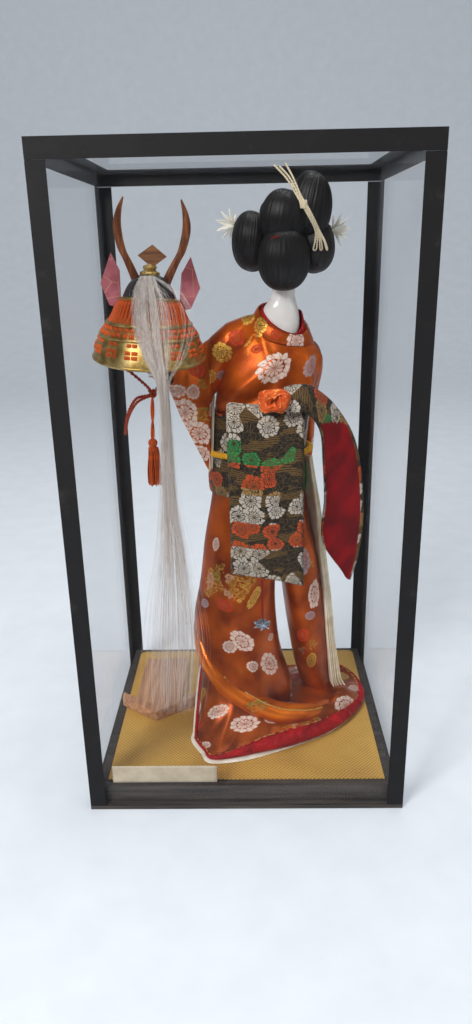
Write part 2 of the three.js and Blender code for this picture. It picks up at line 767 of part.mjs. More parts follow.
function sashCord() {
  const s = sectionAt(TORSO, SASH_CORD_Z);
  const out = FIT + BAND_WALL + FIT + SASH_CORD_RADIUS;
  const rings = count(28).map((i) => {
    const a = turn(i / 28);
    return count(6).map((j) => {
      const b = turn(j / 6);
      const reach = out + SASH_CORD_RADIUS * Math.cos(b) + 0.2;
      const x = s.x + (s.rx + reach) * Math.cos(a);
      const y = s.y + (s.ry + reach) * Math.sin(a);
      return at([x, y, SASH_CORD_Z + SASH_CORD_RADIUS * Math.sin(b)]);
    });
  });
  return hoop(rings);
}

function scarfKnot() {
  const ring = new THREE.TorusGeometry(SCARF_RING, SCARF_RADIUS, 8, 16);
  const front = Math.min(...DRUM_LINE.map(([y]) => y)) - DRUM_CROWN - DRUM_THICK / 2;
  const y = front - SCARF_RADIUS + SCARF_SINK;
  return cut(ring.rotateX(Math.PI / 2).translate(SCARF_AT.x, y, SCARF_AT.z), drum(FIT));
}

// Pendant: string under the drum with a petalled charm.
function petalDisc(radius, thick, petals) {
  const outline = count(petals * 4).map((i) => {
    const angle = turn(i / (petals * 4));
    const reach = radius * (0.72 + 0.28 * Math.cos(petals * angle));
    return [reach * Math.cos(angle), reach * Math.sin(angle)];
  });
  return plate(outline, 0, thick);
}

function pendant() {
  const [y, z] = DRUM_LINE[DRUM_LINE.length - 1];
  const share = (PENDANT_X - DRUM_MIDDLE_X) / DRUM_HALF_WIDTH;
  const hang = y - DRUM_CROWN * (1 - share ** 2);
  const top = z - DRUM_SLOPE * share - FIT;
  const low = top - STRING_LENGTH - CHARM_RADIUS;
  const string = peg(PENDANT_X, hang, low, top, STRING_RADIUS, 8);
  return join(string, petalDisc(CHARM_RADIUS, CHARM_THICK, 6).translate(PENDANT_X, hang, low));
}

// Head and hair, in the neck's frame

function headSolid() {
  const line = [[0, -PEG_LENGTH], [PEG_RADIUS, -PEG_LENGTH], [PEG_RADIUS, FIT], ...NECK_LINE];
  line.push([0, NECK_LINE[NECK_LINE.length - 1][1]]);
  const neck = new THREE.LatheGeometry(line.map(([r, z]) => new THREE.Vector2(r, z)), 24);
  return join(neck.rotateX(Math.PI / 2), ball(SKULL, 0, 20, 12));
}

const topknot = (grow = 0) => join(ball(TOPKNOT_LEFT, grow), ball(TOPKNOT_RIGHT, grow));

// Each lock of hair is fitted against the head and the locks set before it.
function hairPieces() {
  const set = [headSolid(), ball(SKULL, FIT, 20, 12)];
  const pieces = {};
  for (const [name, lock] of Object.entries(HAIR)) {
    pieces[name] = cut(ball(lock), ...set);
    set.push(ball(lock, FIT));
  }
  pieces.topknot = cut(topknot(), ...set);
  return pieces;
}

function flower(side, lock) {
  const x = lock.x + side * (lock.rx - 1);
  const disc = petalDisc(FLOWER_RADIUS, FLOWER_THICK, FLOWER_PETALS);
  return cut(disc.translate(x, lock.y + 5, lock.z + 11), ball(lock, FIT));
}

function head() {
  const group = groupAt("head_assembly", NECK_AT);
  put(group, "head", headSolid(), SKIN);
  for (const [name, geometry] of Object.entries(hairPieces())) {
    put(group, name, geometry, HAIR_BLACK);
  }
  put(group, "hair_cord", cut(bar(PAPER_CORD_LINE, PAPER_CORD_RADIUS), topknot(FIT)), CREAM);
  put(group, "flower_left", flower(-1, HAIR.hair_side_left), CREAM);
  put(group, "flower_right", flower(1, HAIR.hair_side_right), CREAM);
  return group;
}

// Helmet, in the frame of its bowl

function bowl(grow = 0) {
  const dome = (radius, height) =>
    levels(0, 0.25, 5).map((share) => [radius * Math.cos(turn(share)), height * Math.sin(turn(share))]);
  const outside = dome(BOWL_RADIUS + grow, BOWL_HEIGHT + grow);
  const inside = dome(BOWL_RADIUS - BOWL_WALL, BOWL_HEIGHT - BOWL_WALL).reverse();
  const line = [...inside, ...outside].map(([r, z]) => new THREE.Vector2(Math.max(r, 0), z));
  return new THREE.LatheGeometry(line.map((p) => (p.x < 1e-6 ? p.setX(0) : p)), 24).rotateX(Math.PI / 2);
}

const bowlSolid = (grow) =>
  ball({ x: 0, y: 0, z: 0, rx: BOWL_RADIUS, ry: BOWL_RADIUS, rz: BOWL_HEIGHT }, grow, 24, 20);

// Neck guard: flared tiers round the back, open to the front and lower at the back.
function guardPoint(angle, share) {
  const top = BOWL_RADIUS + FIT + GUARD_WALL * 0.4;
  const tier = (share * GUARD_TIERS) % 1;
  const radius = lerp(top, GUARD_RADIUS - GUARD_WALL, share) + GUARD_TIER_STEP * tier * (1 - share);
  const drop = (GUARD_DROP + GUARD_TAIL * Math.cos(angle)) * share ** 0.9;
  return at([radius * Math.sin(angle), -radius * Math.cos(angle), GUARD_TOP_Z - drop]);
}

function neckGuard() {
  const half = THREE.MathUtils.degToRad(GUARD_HALF_ANGLE);
  const rows = levels(0, 1, GUARD_TIERS * 2);
  const grid = levels(-half, half, 24).map((angle) => rows.map((share) => guardPoint(angle, share)));
  return slab(grid, GUARD_WALL);
}

// First two points of a cord that starts square on the inside of the leaning guard.
function cordSeat(degrees, share) {
  const angle = THREE.MathUtils.degToRad(degrees);
  const lean = new THREE.Euler(0, THREE.MathUtils.degToRad(HELMET_LEAN), 0);
  const seat = guardPoint(angle, share);
  const down = guardPoint(angle, share + 0.05).sub(seat);
  const round = guardPoint(angle + 0.05, share).sub(seat);
  const inward = round.cross(down).normalize();
  return [GUARD_WALL / 2 + FIT, GUARD_WALL / 2 + 5].map((depth) =>
    seat.clone().addScaledVector(inward, depth).applyEuler(lean).toArray(),
  );
}

function horn() {
  const curve = (points) =>
    new THREE.SplineCurve(points.map(([x, z]) => new THREE.Vector2(x, z)))
      .getPoints(8)
      .map((p) => [p.x, p.y]);
  return cut(plate([...curve(HORN_OUT), ...curve(HORN_IN)], HORN_Y, PLATE), bowlSolid(FIT));
}

function crest() {
  const half = CREST_STEM / 2;
  const low = CREST_Z - CREST_HALF_HEIGHT;
  const shoulder = low + (CREST_HALF_HEIGHT * half) / CREST_HALF_WIDTH;
  const outline = [
    [-half, 10],
    [half, 10],
    [half, shoulder],
    [CREST_HALF_WIDTH, CREST_Z],
    [0, CREST_Z + CREST_HALF_HEIGHT],
    [-CREST_HALF_WIDTH, CREST_Z],
    [-half, shoulder],
  ];
  return cut(plate(outline, CREST_Y, PLATE), bowlSolid(FIT));
}

const wing = () => cut(plate(WING_OUTLINE, WING_Y, PLATE), bowlSolid(FIT));

function finial() {
  const line = [
    [0, 0],
    [FINIAL_RADIUS, 0],
    [FINIAL_RADIUS, 1.6],
    [FINIAL_RADIUS * 0.6, 2.6],
    [FINIAL_RADIUS * 0.7, FINIAL_HEIGHT * 0.7],
    [FINIAL_RADIUS * 0.3, FINIAL_HEIGHT],
    [0, FINIAL_HEIGHT],
  ];
  const made = new THREE.LatheGeometry(line.map(([r, z]) => new THREE.Vector2(r, z)), 12);
  return cut(made.rotateX(Math.PI / 2).translate(0, 0, BOWL_HEIGHT - 0.6), bowlSolid(FIT));
}

function chinCord() {
  const [x, y, z] = KNOT_AT;
  const knot = ball({ x, y, z, rx: KNOT_RADIUS, ry: KNOT_RADIUS, rz: KNOT_RADIUS }, 0, 12, 8);
  const strand = ({ angle, share, bend }) => [...cordSeat(angle, share), bend, KNOT_AT];
  const lines = [strand(CORD_LEFT), strand(CORD_RIGHT), CORD_LOOP];
  return join(knot, ...lines.map((line) => bar(line, CORD_RADIUS, 6, 14)));
}

function tassel() {
  const [x, y, z] = KNOT_AT;
  const top = z - KNOT_RADIUS - FIT;
  const end = z - TASSEL_DROP;
  const line = [
    [0, -TASSEL_LENGTH],
    [TASSEL_RADIUS, -TASSEL_LENGTH],
    [TASSEL_RADIUS * 0.8, -TASSEL_HEAD],
    [TASSEL_RADIUS * 0.55, -TASSEL_HEAD + 1.5],
    [TASSEL_RADIUS * 0.6, -1],
    [0, 0],
  ];
  const skein = new THREE.LatheGeometry(line.map(([r, h]) => new THREE.Vector2(r, h)), 16);
  const body = skein.rotateX(Math.PI / 2).translate(x, y, end);
  const strand = (dx) => peg(x + dx, y, end - TASSEL_HEAD, top, CORD_RADIUS * 0.9, 8);
  return join(body, strand(-0.9), strand(0.9));
}

function helmet() {
  const group = groupAt("helmet_assembly", HELMET_AT);
  const shell = groupAt("helmet_shell");
  shell.rotation.y = THREE.MathUtils.degToRad(HELMET_LEAN);
  put(shell, "helmet_bowl", bowl(), BLACK);
  put(shell, "neck_guard", neckGuard(), GOLD);
  for (const [side, name] of [[-1, "left"], [1, "right"]]) {
    put(shell, `wing_${name}`, wing(), RED).scale.x = side;
    put(shell, `horn_${name}`, horn(), COPPER).scale.x = side;
  }
  put(shell, "crest", crest(), COPPER);
  put(shell, "finial", finial(), GOLD);
  group.add(shell);
  put(group, "mane", stack(maneRings()), PALE_HAIR);
  put(group, "chin_cord", chinCord(), RED);
  put(group, "tassel", tassel(), ORANGE);
  return group;
}

function maneRings() {
  const list = [...MANE].reverse();
  const heights = MANE.flatMap((s, i) => (i ? [(s.z + MANE[i - 1].z) / 2, s.z] : [s.z]));
  return heights.map((z) => oval(sectionAt(list, z), z, 0, 12));
}

// Doll

function doll() {
  const group = groupAt("doll");
  put(group, "leg_dowel_left", dowel(SKIRT_LEFT), WOOD);
  put(group, "leg_dowel_right", dowel(SKIRT_RIGHT), WOOD);
  put(group, "torso_core", torsoCore(), WOOD);
  put(group, "arm_wire_left", armWire(armLineLeft), SILVER);
  put(group, "arm_wire_right", armWire(armLineRight), SILVER);

  const wrist = ({ x, y, fall }, dy) => underNape({ x: x - FIT - 1.5, y: y + dy, fall }, ARM_DEPTH);
  const leftHand = hand(wrist(SLEEVE_LEFT.at(-1), -1.5), [-1, -1.4, 0.5]);
  const rightHand = hand(wrist(SLEEVE_RIGHT.at(-1), 0.5), [-1, 0.15, 0.25]);
  put(group, "hand_left", cut(leftHand, armWire(armLineLeft, FIT)), SKIN);
  put(group, "hand_right", cut(rightHand, armWire(armLineRight, FIT)), SKIN);

  put(group, "bodice", bodice(), ORANGE);
  put(group, "inner_collar", innerCollar(), RED);
  put(group, "sleeve_left", fittedSleeve(SLEEVE_LEFT, armLineLeft), ORANGE);
  put(group, "sleeve_right", fittedSleeve(SLEEVE_RIGHT, armLineRight), ORANGE);
  put(group, "skirt_left", wall(skirtLeftRings(0), skirtLeftRings(-SKIRT_WALL)), ORANGE);
  put(group, "skirt_right", wall(skirtRightRings(0), skirtRightRings(-SKIRT_WALL)), ORANGE);
  put(group, "train", train(), ORANGE);
  put(group, "padded_hem", paddedHem(), RED);
  put(group, "front_edges", frontEdges(), CREAM);

  put(group, "sash_band", waistBand(), SASH);
  put(group, "sash_drum", drum(), SASH);
  put(group, "sash_ribbon", ribbon(), SASH);
  put(group, "sash_cord", sashCord(), GOLD);
  put(group, "sash_scarf", scarfKnot(), ORANGE);
  put(group, "pendant", pendant(), SILVER);
  return group;
}

// Notice board, lying on its back with its roof to the front

function sign() {
  const group = groupAt("notice_board", { ...SIGN_AT, z: FIT });
  const half = SIGN_WIDTH / 2;
  const slope = ROOF_RISE / (ROOF_SPAN / 2);
  const flat = (points, depth) => {
    const shape = new THREE.Shape(points.map(([x, y]) => new THREE.Vector2(x, y)));
    return new THREE.ExtrudeGeometry(shape, { depth, bevelEnabled: false });
  };
  const board = [
    [0, 0],
    [half, slope * half],
    [half, SIGN_LENGTH],
    [-half, SIGN_LENGTH],
    [-half, slope * half],
  ];
  const span = ROOF_SPAN / 2;
  const gap = FIT * Math.hypot(1, slope);
  const roof = [
    [0, -gap],
    [-span, ROOF_RISE - gap],
    [-span, ROOF_RISE - gap - ROOF_THICK],
    [0, -gap - ROOF_THICK * 1.2],
    [span, ROOF_RISE - gap - ROOF_THICK],
    [span, ROOF_RISE - gap],
  ];
  put(group, "sign_board", flat(board, SIGN_THICK), WOOD);
  put(group, "sign_roof", flat(roof, ROOF_DEPTH), WOOD);
  return group;
}

// Base, as wide and deep as the hood that stands on it

function base(width, depth) {
  const group = groupAt("base");
  const wallThick = TAPE_THICK + FIT + GLASS_THICK + FIT + PLINTH_INSET;
  const w = width / 2;
  const d = depth / 2;
  const low = BOARD_THICK + FIT;
  const high = low + PLINTH_THICK;
  const hole = (wrap) => dowel(wrap, FIT).translate(0, 0, high + FIT + BROCADE_THICK);
  const holes = () => [hole(SKIRT_LEFT), hole(SKIRT_RIGHT)];
  put(group, "base_board", block([-w, -d, 0], [w, d, BOARD_THICK]), BLACK);

  const plinth = block([-w + wallThick, -d + wallThick, low], [w - wallThick, d - wallThick, high]);
  put(group, "plinth_block", cut(plinth, ...holes()), BLACK);

  const x = w - wallThick - BROCADE_RIM;
  const y = d - wallThick - BROCADE_RIM;
  const r = BROCADE_CORNER;
  const sheet = new THREE.Shape();
  sheet.moveTo(-x, -y).lineTo(x, -y).lineTo(x, y - r);
  sheet.quadraticCurveTo(x, y, x - r, y).lineTo(-x + r, y).quadraticCurveTo(-x, y, -x, y - r);
  const options = { depth: BROCADE_THICK, bevelEnabled: false, curveSegments: 4 };
  const brocade = new THREE.ExtrudeGeometry(sheet, options).translate(0, 0, high + FIT);
  put(group, "brocade_panel", cut(brocade, ...holes()), PAPER);
  return group;
}

// Hood: four walls under a top pane, with tape angles along the outside edges

function tapeAngle(length) {
  const leg = TAPE_WIDTH;
  const shape = new THREE.Shape();
  shape.moveTo(0, 0).lineTo(leg, 0).lineTo(leg, TAPE_THICK).lineTo(TAPE_THICK, TAPE_THICK);
  shape.lineTo(TAPE_THICK, leg).lineTo(0, leg);
  return new THREE.ExtrudeGeometry(shape, { depth: length, bevelEnabled: false });
}

function hood(width, depth, height) {
  const group = groupAt("hood");
  const skin = TAPE_THICK + FIT;
  const w = width / 2 - skin;
  const d = depth / 2 - skin;
  const low = BOARD_THICK + FIT;
  const high = height - skin;
  const under = high - GLASS_THICK - FIT;
  const t = GLASS_THICK;
  const side = d - t - FIT;
  put(group, "glass_front", block([-w, -d, low], [w, -d + t, under]), GLASS);
  put(group, "glass_back", block([-w, d - t, low], [w, d, under]), GLASS);
  put(group, "glass_left", block([-w, -side, low], [-w + t, side, under]), GLASS);
  put(group, "glass_right", block([w - t, -side, low], [w, side, under]), GLASS);
  put(group, "glass_top", block([-w, -d, high - t], [w, d, high]), GLASS);

  const upright = height - TAPE_WIDTH - FIT - low;
  for (const [ySide, depthName] of [[-1, "front"], [1, "back"]]) {
    for (const [xSide, name] of [[-1, "left"], [1, "right"]]) {
      const angle = put(group, `corner_binding_${depthName}_${name}`, tapeAngle(upright), BLACK);
      angle.scale.set(-xSide, -ySide, 1);
      angle.position.set((xSide * width) / 2, (ySide * depth) / 2, low);
    }
    put(group, `top_binding_${depthName}`, topBindingAcross(ySide, width, depth, height), BLACK);
  }
  for (const [xSide, name] of [[-1, "left"], [1, "right"]]) {
    put(group, `top_binding_${name}`, topBindingAlong(xSide, width, depth, height), BLACK);
  }
  return group;
}

// Front or back top tape, turned round both corners.
function topBindingAcross(side, width, depth, height) {
  const x = width / 2;
  const y = (side * depth) / 2;
  const inner = y - side * TAPE_WIDTH;
  const skirt = height - TAPE_WIDTH;
  const over = block([-x, y, height - TAPE_THICK], [x, inner, height]);
  const face = block([-x, y, skirt], [x, y - side * TAPE_THICK, height]);
  const left = block([-x, y, skirt], [-x + TAPE_THICK, inner, height]);
  const right = block([x - TAPE_THICK, y, skirt], [x, inner, height]);
  return join(over, face, left, right);
}

// Side top tape, between the front and back ones.
function topBindingAlong(side, width, depth, height) {
  const x = (side * width) / 2;
  const y = depth / 2 - TAPE_WIDTH - FIT;
  const over = block([x, -y, height - TAPE_THICK], [x - side * TAPE_WIDTH, y, height]);
  const face = block([x, -y, height - TAPE_WIDTH], [x - side * TAPE_THICK, y, height]);
  return join(over, face);
}

// Whole object

const part = new THREE.Group();
part.name = "cased_lady_doll";

const contents = groupAt("contents");
contents.position.z = BOARD_THICK + FIT + PLINTH_THICK + FIT + BROCADE_THICK;
const figure = doll();
figure.add(head(), helmet());
contents.add(figure, sign());
part.add(contents);
part.updateMatrixWorld(true);

const reach = new THREE.Box3().setFromObject(contents);
const hoodWall = TAPE_THICK + FIT + GLASS_THICK;
const caseWidth = 2 * (Math.max(-reach.min.x, reach.max.x) + SIDE_ROOM + hoodWall);
const caseDepth = 2 * (Math.max(-reach.min.y, reach.max.y) + DEPTH_ROOM + hoodWall);
const caseHeight = reach.max.z + HEAD_ROOM + hoodWall;
part.add(base(caseWidth, caseDepth));
part.add(hood(caseWidth, caseDepth, caseHeight));

export default part;
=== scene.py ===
# A dressed lady doll holding up a ceremonial helmet, on a plinth under a lift-off glass hood.
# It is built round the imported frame: metres, +Z up, the doll's back towards -Y.
import math
import random

import bmesh
import bpy
import numpy as np
from mathutils import Matrix, Vector


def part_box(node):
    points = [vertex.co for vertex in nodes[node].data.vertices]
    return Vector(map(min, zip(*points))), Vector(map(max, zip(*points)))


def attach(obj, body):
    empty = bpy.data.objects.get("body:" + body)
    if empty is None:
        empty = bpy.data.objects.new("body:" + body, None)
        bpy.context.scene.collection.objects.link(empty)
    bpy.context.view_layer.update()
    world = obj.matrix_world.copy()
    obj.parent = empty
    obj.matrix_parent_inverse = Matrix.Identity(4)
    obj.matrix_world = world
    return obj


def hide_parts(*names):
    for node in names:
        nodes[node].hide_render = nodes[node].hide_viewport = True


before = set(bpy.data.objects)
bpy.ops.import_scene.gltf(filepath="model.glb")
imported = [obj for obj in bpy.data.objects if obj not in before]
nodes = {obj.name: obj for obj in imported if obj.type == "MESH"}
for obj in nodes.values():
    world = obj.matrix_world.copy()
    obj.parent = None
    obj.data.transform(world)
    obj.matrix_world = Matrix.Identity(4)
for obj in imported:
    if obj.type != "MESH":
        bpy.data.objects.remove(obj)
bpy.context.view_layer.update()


# Camera
# It stands where the photograph was taken: half a metre behind the doll and a little above its
# shoulders, tipped down at the case. The lens follows from the photograph's own perspective.
PHOTO_HEIGHT = 1024
FOCAL_PIXELS = 749.5
SENSOR_HEIGHT = 24.0
CAMERA_AT = (0.0069, -0.5529, 0.3928)
CAMERA_YAW = math.radians(1.28)
CAMERA_PITCH = math.radians(19.65)
CAMERA_ROLL = math.radians(-1.16)

scene = bpy.context.scene
camera_data = bpy.data.cameras.new("photo_camera")
camera_data.sensor_fit = "VERTICAL"
camera_data.sensor_height = SENSOR_HEIGHT
camera_data.lens = SENSOR_HEIGHT * FOCAL_PIXELS / PHOTO_HEIGHT
camera_data.clip_start = 0.01
camera = bpy.data.objects.new("photo_camera", camera_data)
scene.collection.objects.link(camera)
camera.matrix_world = (
    Matrix.Translation(CAMERA_AT)
    @ Matrix.Rotation(CAMERA_YAW, 4, "Z")
    @ Matrix.Rotation(math.pi / 2 - CAMERA_PITCH, 4, "X")
    @ Matrix.Rotation(CAMERA_ROLL, 4, "Z")
)
scene.camera = camera


# Base board and plinth
# Two flat boards of dark stained wood, glued one on the other; the hood stands on the wider one
# round the plinth. Their corners are eased by hand and the stain has worn grey with handling.
def colour(code):
    """Linear colour from the six letters of a screen colour."""
    channels = [int(code[i : i + 2], 16) / 255 for i in (0, 2, 4)]
    return [c / 12.92 if c <= 0.04045 else ((c + 0.055) / 1.055) ** 2.4 for c in channels] + [1.0]


class Wire:
    """A value inside a finish. Sums written with it become nodes there."""

    def __init__(self, finish, socket):
        self.finish = finish
        self.socket = socket

    def __add__(self, other):
        return self.finish.number("ADD", self, other)

    def __sub__(self, other):
        return self.finish.number("SUBTRACT", self, other)

    def __rsub__(self, other):
        return self.finish.number("SUBTRACT", other, self)

    def __mul__(self, other):
        return self.finish.number("MULTIPLY", self, other)

    def __truediv__(self, other):
        return self.finish.number("DIVIDE", self, other)

    def __pow__(self, other):
        return self.finish.number("POWER", self, other)

    def __abs__(self):
        return self.finish.number("ABSOLUTE", self)

    def all(self):
        """Every output of the node that it comes from."""
        return [Wire(self.finish, socket) for socket in self.socket.node.outputs]


class Finish:
    """One surface finish: a material and the nodes that paint it."""

    def __init__(self, name):
        self.material = bpy.data.materials.new(name)
        self.material.use_nodes = True
        self.tree = self.material.node_tree
        self.tree.nodes.clear()
        out = self.tree.nodes.new("ShaderNodeOutputMaterial")
        self.shader = self.tree.nodes.new("ShaderNodeBsdfPrincipled")
        self.tree.links.new(self.shader.outputs[0], out.inputs[0])
        self.places = self.tree.nodes.new("ShaderNodeTexCoord")

    def feed(self, socket, value):
        if isinstance(value, Wire):
            self.tree.links.new(value.socket, socket)
        else:
            socket.default_value = value

    def add(self, kind, sockets=None, output=0, **settings):
        """One output of a new node."""
        node = self.tree.nodes.new("ShaderNode" + kind)
        for key, value in settings.items():
            setattr(node, key, value)
        for key, value in (sockets or {}).items():
            self.feed(node.inputs[key], value)
        return Wire(self, node.outputs[output])

    def where(self, stretch=(1.0, 1.0, 1.0), place="UV", shift=(0.0, 0.0, 0.0)):
        """A place on the surface in metres, stretched and shifted for a pattern."""
        sockets = {0: Wire(self, self.places.outputs[place]), 1: stretch, 2: shift}
        return self.add("VectorMath", sockets, operation="MULTIPLY_ADD")

    def number(self, operation, a, b=0.0):
        return self.add("Math", {0: a, 1: b}, operation=operation)

    def blend(self, share, a, b, *band):
        """Two colours, written or wired, blended by a share or by a band of it."""
        if band:
            share = self.band(share, *band)
        a, b = (colour(c) if isinstance(c, str) else c for c in (a, b))
        return self.add("Mix", {0: share, 6: a, 7: b}, 2, data_type="RGBA")

    def band(self, value, low, high, start=0.0, end=1.0):
        """A soft step from start to end as value goes from low to high."""
        sockets = {0: value, 1: low, 2: high, 3: start, 4: end}
        return self.add("MapRange", sockets, interpolation_type="SMOOTHSTEP")

    def noise(self, where, scale, detail=3.0, roughness=0.5):
        if isinstance(where, str):
            where = self.where(place=where)
        sockets = {"Vector": where, "Scale": scale, "Detail": detail, "Roughness": roughness}
        return self.add("TexNoise", sockets)

    def steps(self, value, stops, interpolation="LINEAR"):
        """Colours at some places along a value."""
        ramp = self.add("ValToRGB", {0: value})
        points = ramp.socket.node.color_ramp.elements
        ramp.socket.node.color_ramp.interpolation = interpolation
        while len(points) < len(stops):
            points.new(1.0)
        for point, (position, code) in zip(points, stops):
            point.position = position
            point.color = colour(code)
        return ramp

    def relief(self, height, depth, over=None):
        """Bumps of that depth in metres, laid over an earlier relief."""
        sockets = {"Strength": 1.0, "Distance": depth, "Height": height}
        if over is not None:
            sockets["Normal"] = over
        return self.add("Bump", sockets)

    def set(self, **sockets):
        for key, value in sockets.items():
            self.feed(self.shader.inputs[key.replace("_", " ")], value)
        return self


def dress(finish, *names, corners=0.0):
    """Gives CAD nodes their finish, and rounds their sharp corners as sanding or moulding does."""
    for name in names:
        data = nodes[name].data
        data.materials.clear()
        data.materials.append(finish.material)
        if corners:
            bevel = nodes[name].modifiers.new("eased_edges", "BEVEL")
            bevel.width = corners
            bevel.segments = 2
            bevel.limit_method = "ANGLE"
            bevel.angle_limit = math.radians(35)
            bevel.harden_normals = False


def grained_wood(name, dark, pale, grain_along, roughness, scuffs):
    """Wood whose grain runs along one axis, with fine pores and paler scuffs."""
    wood = Finish(name)
    stretch = [260.0, 260.0, 260.0]
    stretch[grain_along] = 14.0
    grain = wood.noise(wood.where(stretch, "Object"), 1.0, 6.0, 0.6)
    stretch = [1400.0, 1400.0, 1400.0]
    stretch[grain_along] = 60.0
    pores = wood.noise(wood.where(stretch, "Object"), 1.0, 3.0, 0.7)
    rubbed = wood.band(wood.noise("Object", 55.0, 6.0, 0.7), 0.56, 0.72, 0.0, scuffs)
    tone = wood.blend(grain, dark, pale, 0.3, 0.7)
    tone = wood.blend(pores, tone, dark, 0.5, 0.8, 0.0, 0.35)
    tone = wood.blend(rubbed, tone, pale)
    return wood.set(
        Base_Color=tone,
        Roughness=wood.band(grain, 0.2, 0.8, roughness, roughness + 0.18),
        Normal=wood.relief(grain + pores * 0.5, 0.00012),
    )


EASED_BOARD = 0.0007

dark_board = grained_wood("dark_stained_board", "211c19", "4b433c", 0, 0.42, 0.3)
dress(dark_board, "base_board", "plinth_block", corners=EASED_BOARD)


# Brocade paper on the plinth
# A sheet of gold brocade paper glued to the plinth inside a dark rim. A fine lattice is woven in
# it with a small round crest at each crossing, and the gold thread catches the light in specks.
LATTICE = 0.0062

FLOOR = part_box("brocade_panel")[1][2]

paper = Finish("gold_brocade_paper")
floor_at = paper.where(place="Object")
across, deep, _ = paper.add("SeparateXYZ", {0: floor_at}).all()


def lattice_wave(slant):
    """One set of woven lines, running on a slant over the floor."""
    line = across + deep * slant
    line = line * (2 * math.pi / LATTICE)
    return abs(paper.number("SINE", line))


crossing = paper.number("MINIMUM", lattice_wave(1.0), lattice_wave(-1.0))
crest = lattice_wave(1.0) * lattice_wave(-1.0)
lines = paper.band(crossing, 0.12, 0.34, 1.0, 0.0)
crests = paper.band(crest, 0.62, 0.85)
sparkle = paper.noise("Object", 2600.0, 2.0, 0.8)
faded = paper.noise(floor_at, 22.0, 4.0)
paper_tone = paper.blend(faded, "c08c2c", "e2b04a", 0.3, 0.7)
paper_tone = paper.blend(lines * 0.7, paper_tone, "f6d88c")
paper_tone = paper.blend(crests * 0.35, paper_tone, "94661c")
paper_tone = paper.blend(sparkle, paper_tone, "fff0c0", 0.62, 0.75, 0.0, 0.6)
paper.set(
    Base_Color=paper_tone,
    Metallic=paper.band(lines, 0.0, 1.0, 0.25, 0.5),
    Roughness=paper.band(sparkle, 0.4, 0.7, 0.55, 0.36),
    Normal=paper.relief(lines + sparkle, 0.0002),
)
dress(paper, "brocade_panel")


# Inner frame of the doll
# Two leg dowels stand in holes in the plinth and carry a wooden torso, with a hole on top for the
# neck's peg; a wire runs out of it through each arm. None of it shows when the doll is dressed.
MM = 0.001

# Place and half-widths of the dressed torso: height, x, y, across, deep (mm over the brocade)
TORSO = [
    (195, 11.8, 8, 35, 26),
    (221, 11.8, 8, 34.2, 25.5),
    (253, 13.8, 8, 34.4, 25.5),
    (278, 20, 8, 37.5, 25),
    (295, 25, 8, 36, 23),
    (305, 28, 7, 29, 20),
    (315, 30, 6, 21.5, 17.5),
    (324, 31, 5, 16.8, 15.5),
]
WAIST = 221
NAPE = 324
COLLAR_TILT_DEPTH = 28
COLLAR_DROP = 7.5
COLLAR_LEAN = 7
CORE_INSET = 3.2
CORE_TOP = 301
CORE_ROWS = 24
CORE_COLUMNS = 72
NECK_AT = np.array([33.0, 5.0, 304.0])
PEG_RADIUS = 5
PEG_LENGTH = 26
PEG_PLAY = 0.4


def between(t, start, end, leaving, arriving):
    """A smooth way from start to end, given its slopes there."""
    return (
        start * (2 * t**3 - 3 * t**2 + 1)
        + end * (3 * t**2 - 2 * t**3)
        + leaving * (t**3 - 2 * t**2 + t)
        + arriving * (t**3 - t**2)
    )


def section(stations, heights):
    """Place and half-widths at some heights, smoothed between the stations given."""
    table = np.asarray(stations, float)
    keys = table[:, 0]
    before = np.maximum(np.arange(len(keys)) - 1, 0)
    after = np.minimum(np.arange(len(keys)) + 1, len(keys) - 1)
    slopes = (table[after] - table[before]) / (keys[after] - keys[before])[:, None]
    z = np.clip(heights, keys[0], keys[-1])
    i = np.clip(np.searchsorted(keys, z) - 1, 0, len(keys) - 2)
    span = (keys[i + 1] - keys[i])[:, None]
    t = (z[:, None] - keys[i][:, None]) / span
    return between(t, table[i], table[i + 1], slopes[i] * span, slopes[i + 1] * span)[:, 1:]


def eased(value, low, high):
    share = np.clip((np.asarray(value, float) - low) / (high - low), 0.0, 1.0)
    return share * share * (3 - 2 * share)


def circle(count):
    """Even angles all the way round."""
    return np.arange(count) * 2 * math.pi / count


def all_round(columns):
    """Angles round an upright piece, with the seam at its front."""
    return math.pi / 2 + circle(columns)


def lengths(points, axis=0):
    """Distances between the points that follow one another along an axis."""
    return np.linalg.norm(np.diff(points, axis=axis), axis=-1)


def lathe(radius, angle, height):
    """Rings round an upright axis, as if turned on a lathe."""
    rings = np.broadcast_arrays(radius * np.cos(angle), radius * np.sin(angle), height)
    return np.stack(rings, axis=2)


def ovals(stations, heights, angles, out=0.0):
    """Level oval rings as a grid of points, let out by some millimetres."""
    s = section(stations, heights)
    out = np.broadcast_to(out, (len(heights), len(angles)))
    x = s[:, 0:1] + (s[:, 2:3] + out) * np.cos(angles)
    y = s[:, 1:2] + (s[:, 3:4] + out) * np.sin(angles)
    z = np.broadcast_to(np.asarray(heights, float)[:, None], x.shape)
    return np.stack([x, y, z], axis=2)


def torso_grid(heights, angles, out=0.0):
    """Rings of the torso, with the neck opening low at the back and high on the left."""
    grid = ovals(TORSO, heights, angles, out)
    tilt = eased(heights, NAPE - COLLAR_TILT_DEPTH, NAPE)[:, None]
    grid[:, :, 2] += tilt * (COLLAR_DROP * np.sin(angles) - COLLAR_LEAN * np.cos(angles))
    return grid


def over_brocade(points):
    """Millimetres over the brocade as metres in the row frame."""
    return np.asarray(points, float) * MM + (0.0, 0.0, FLOOR)


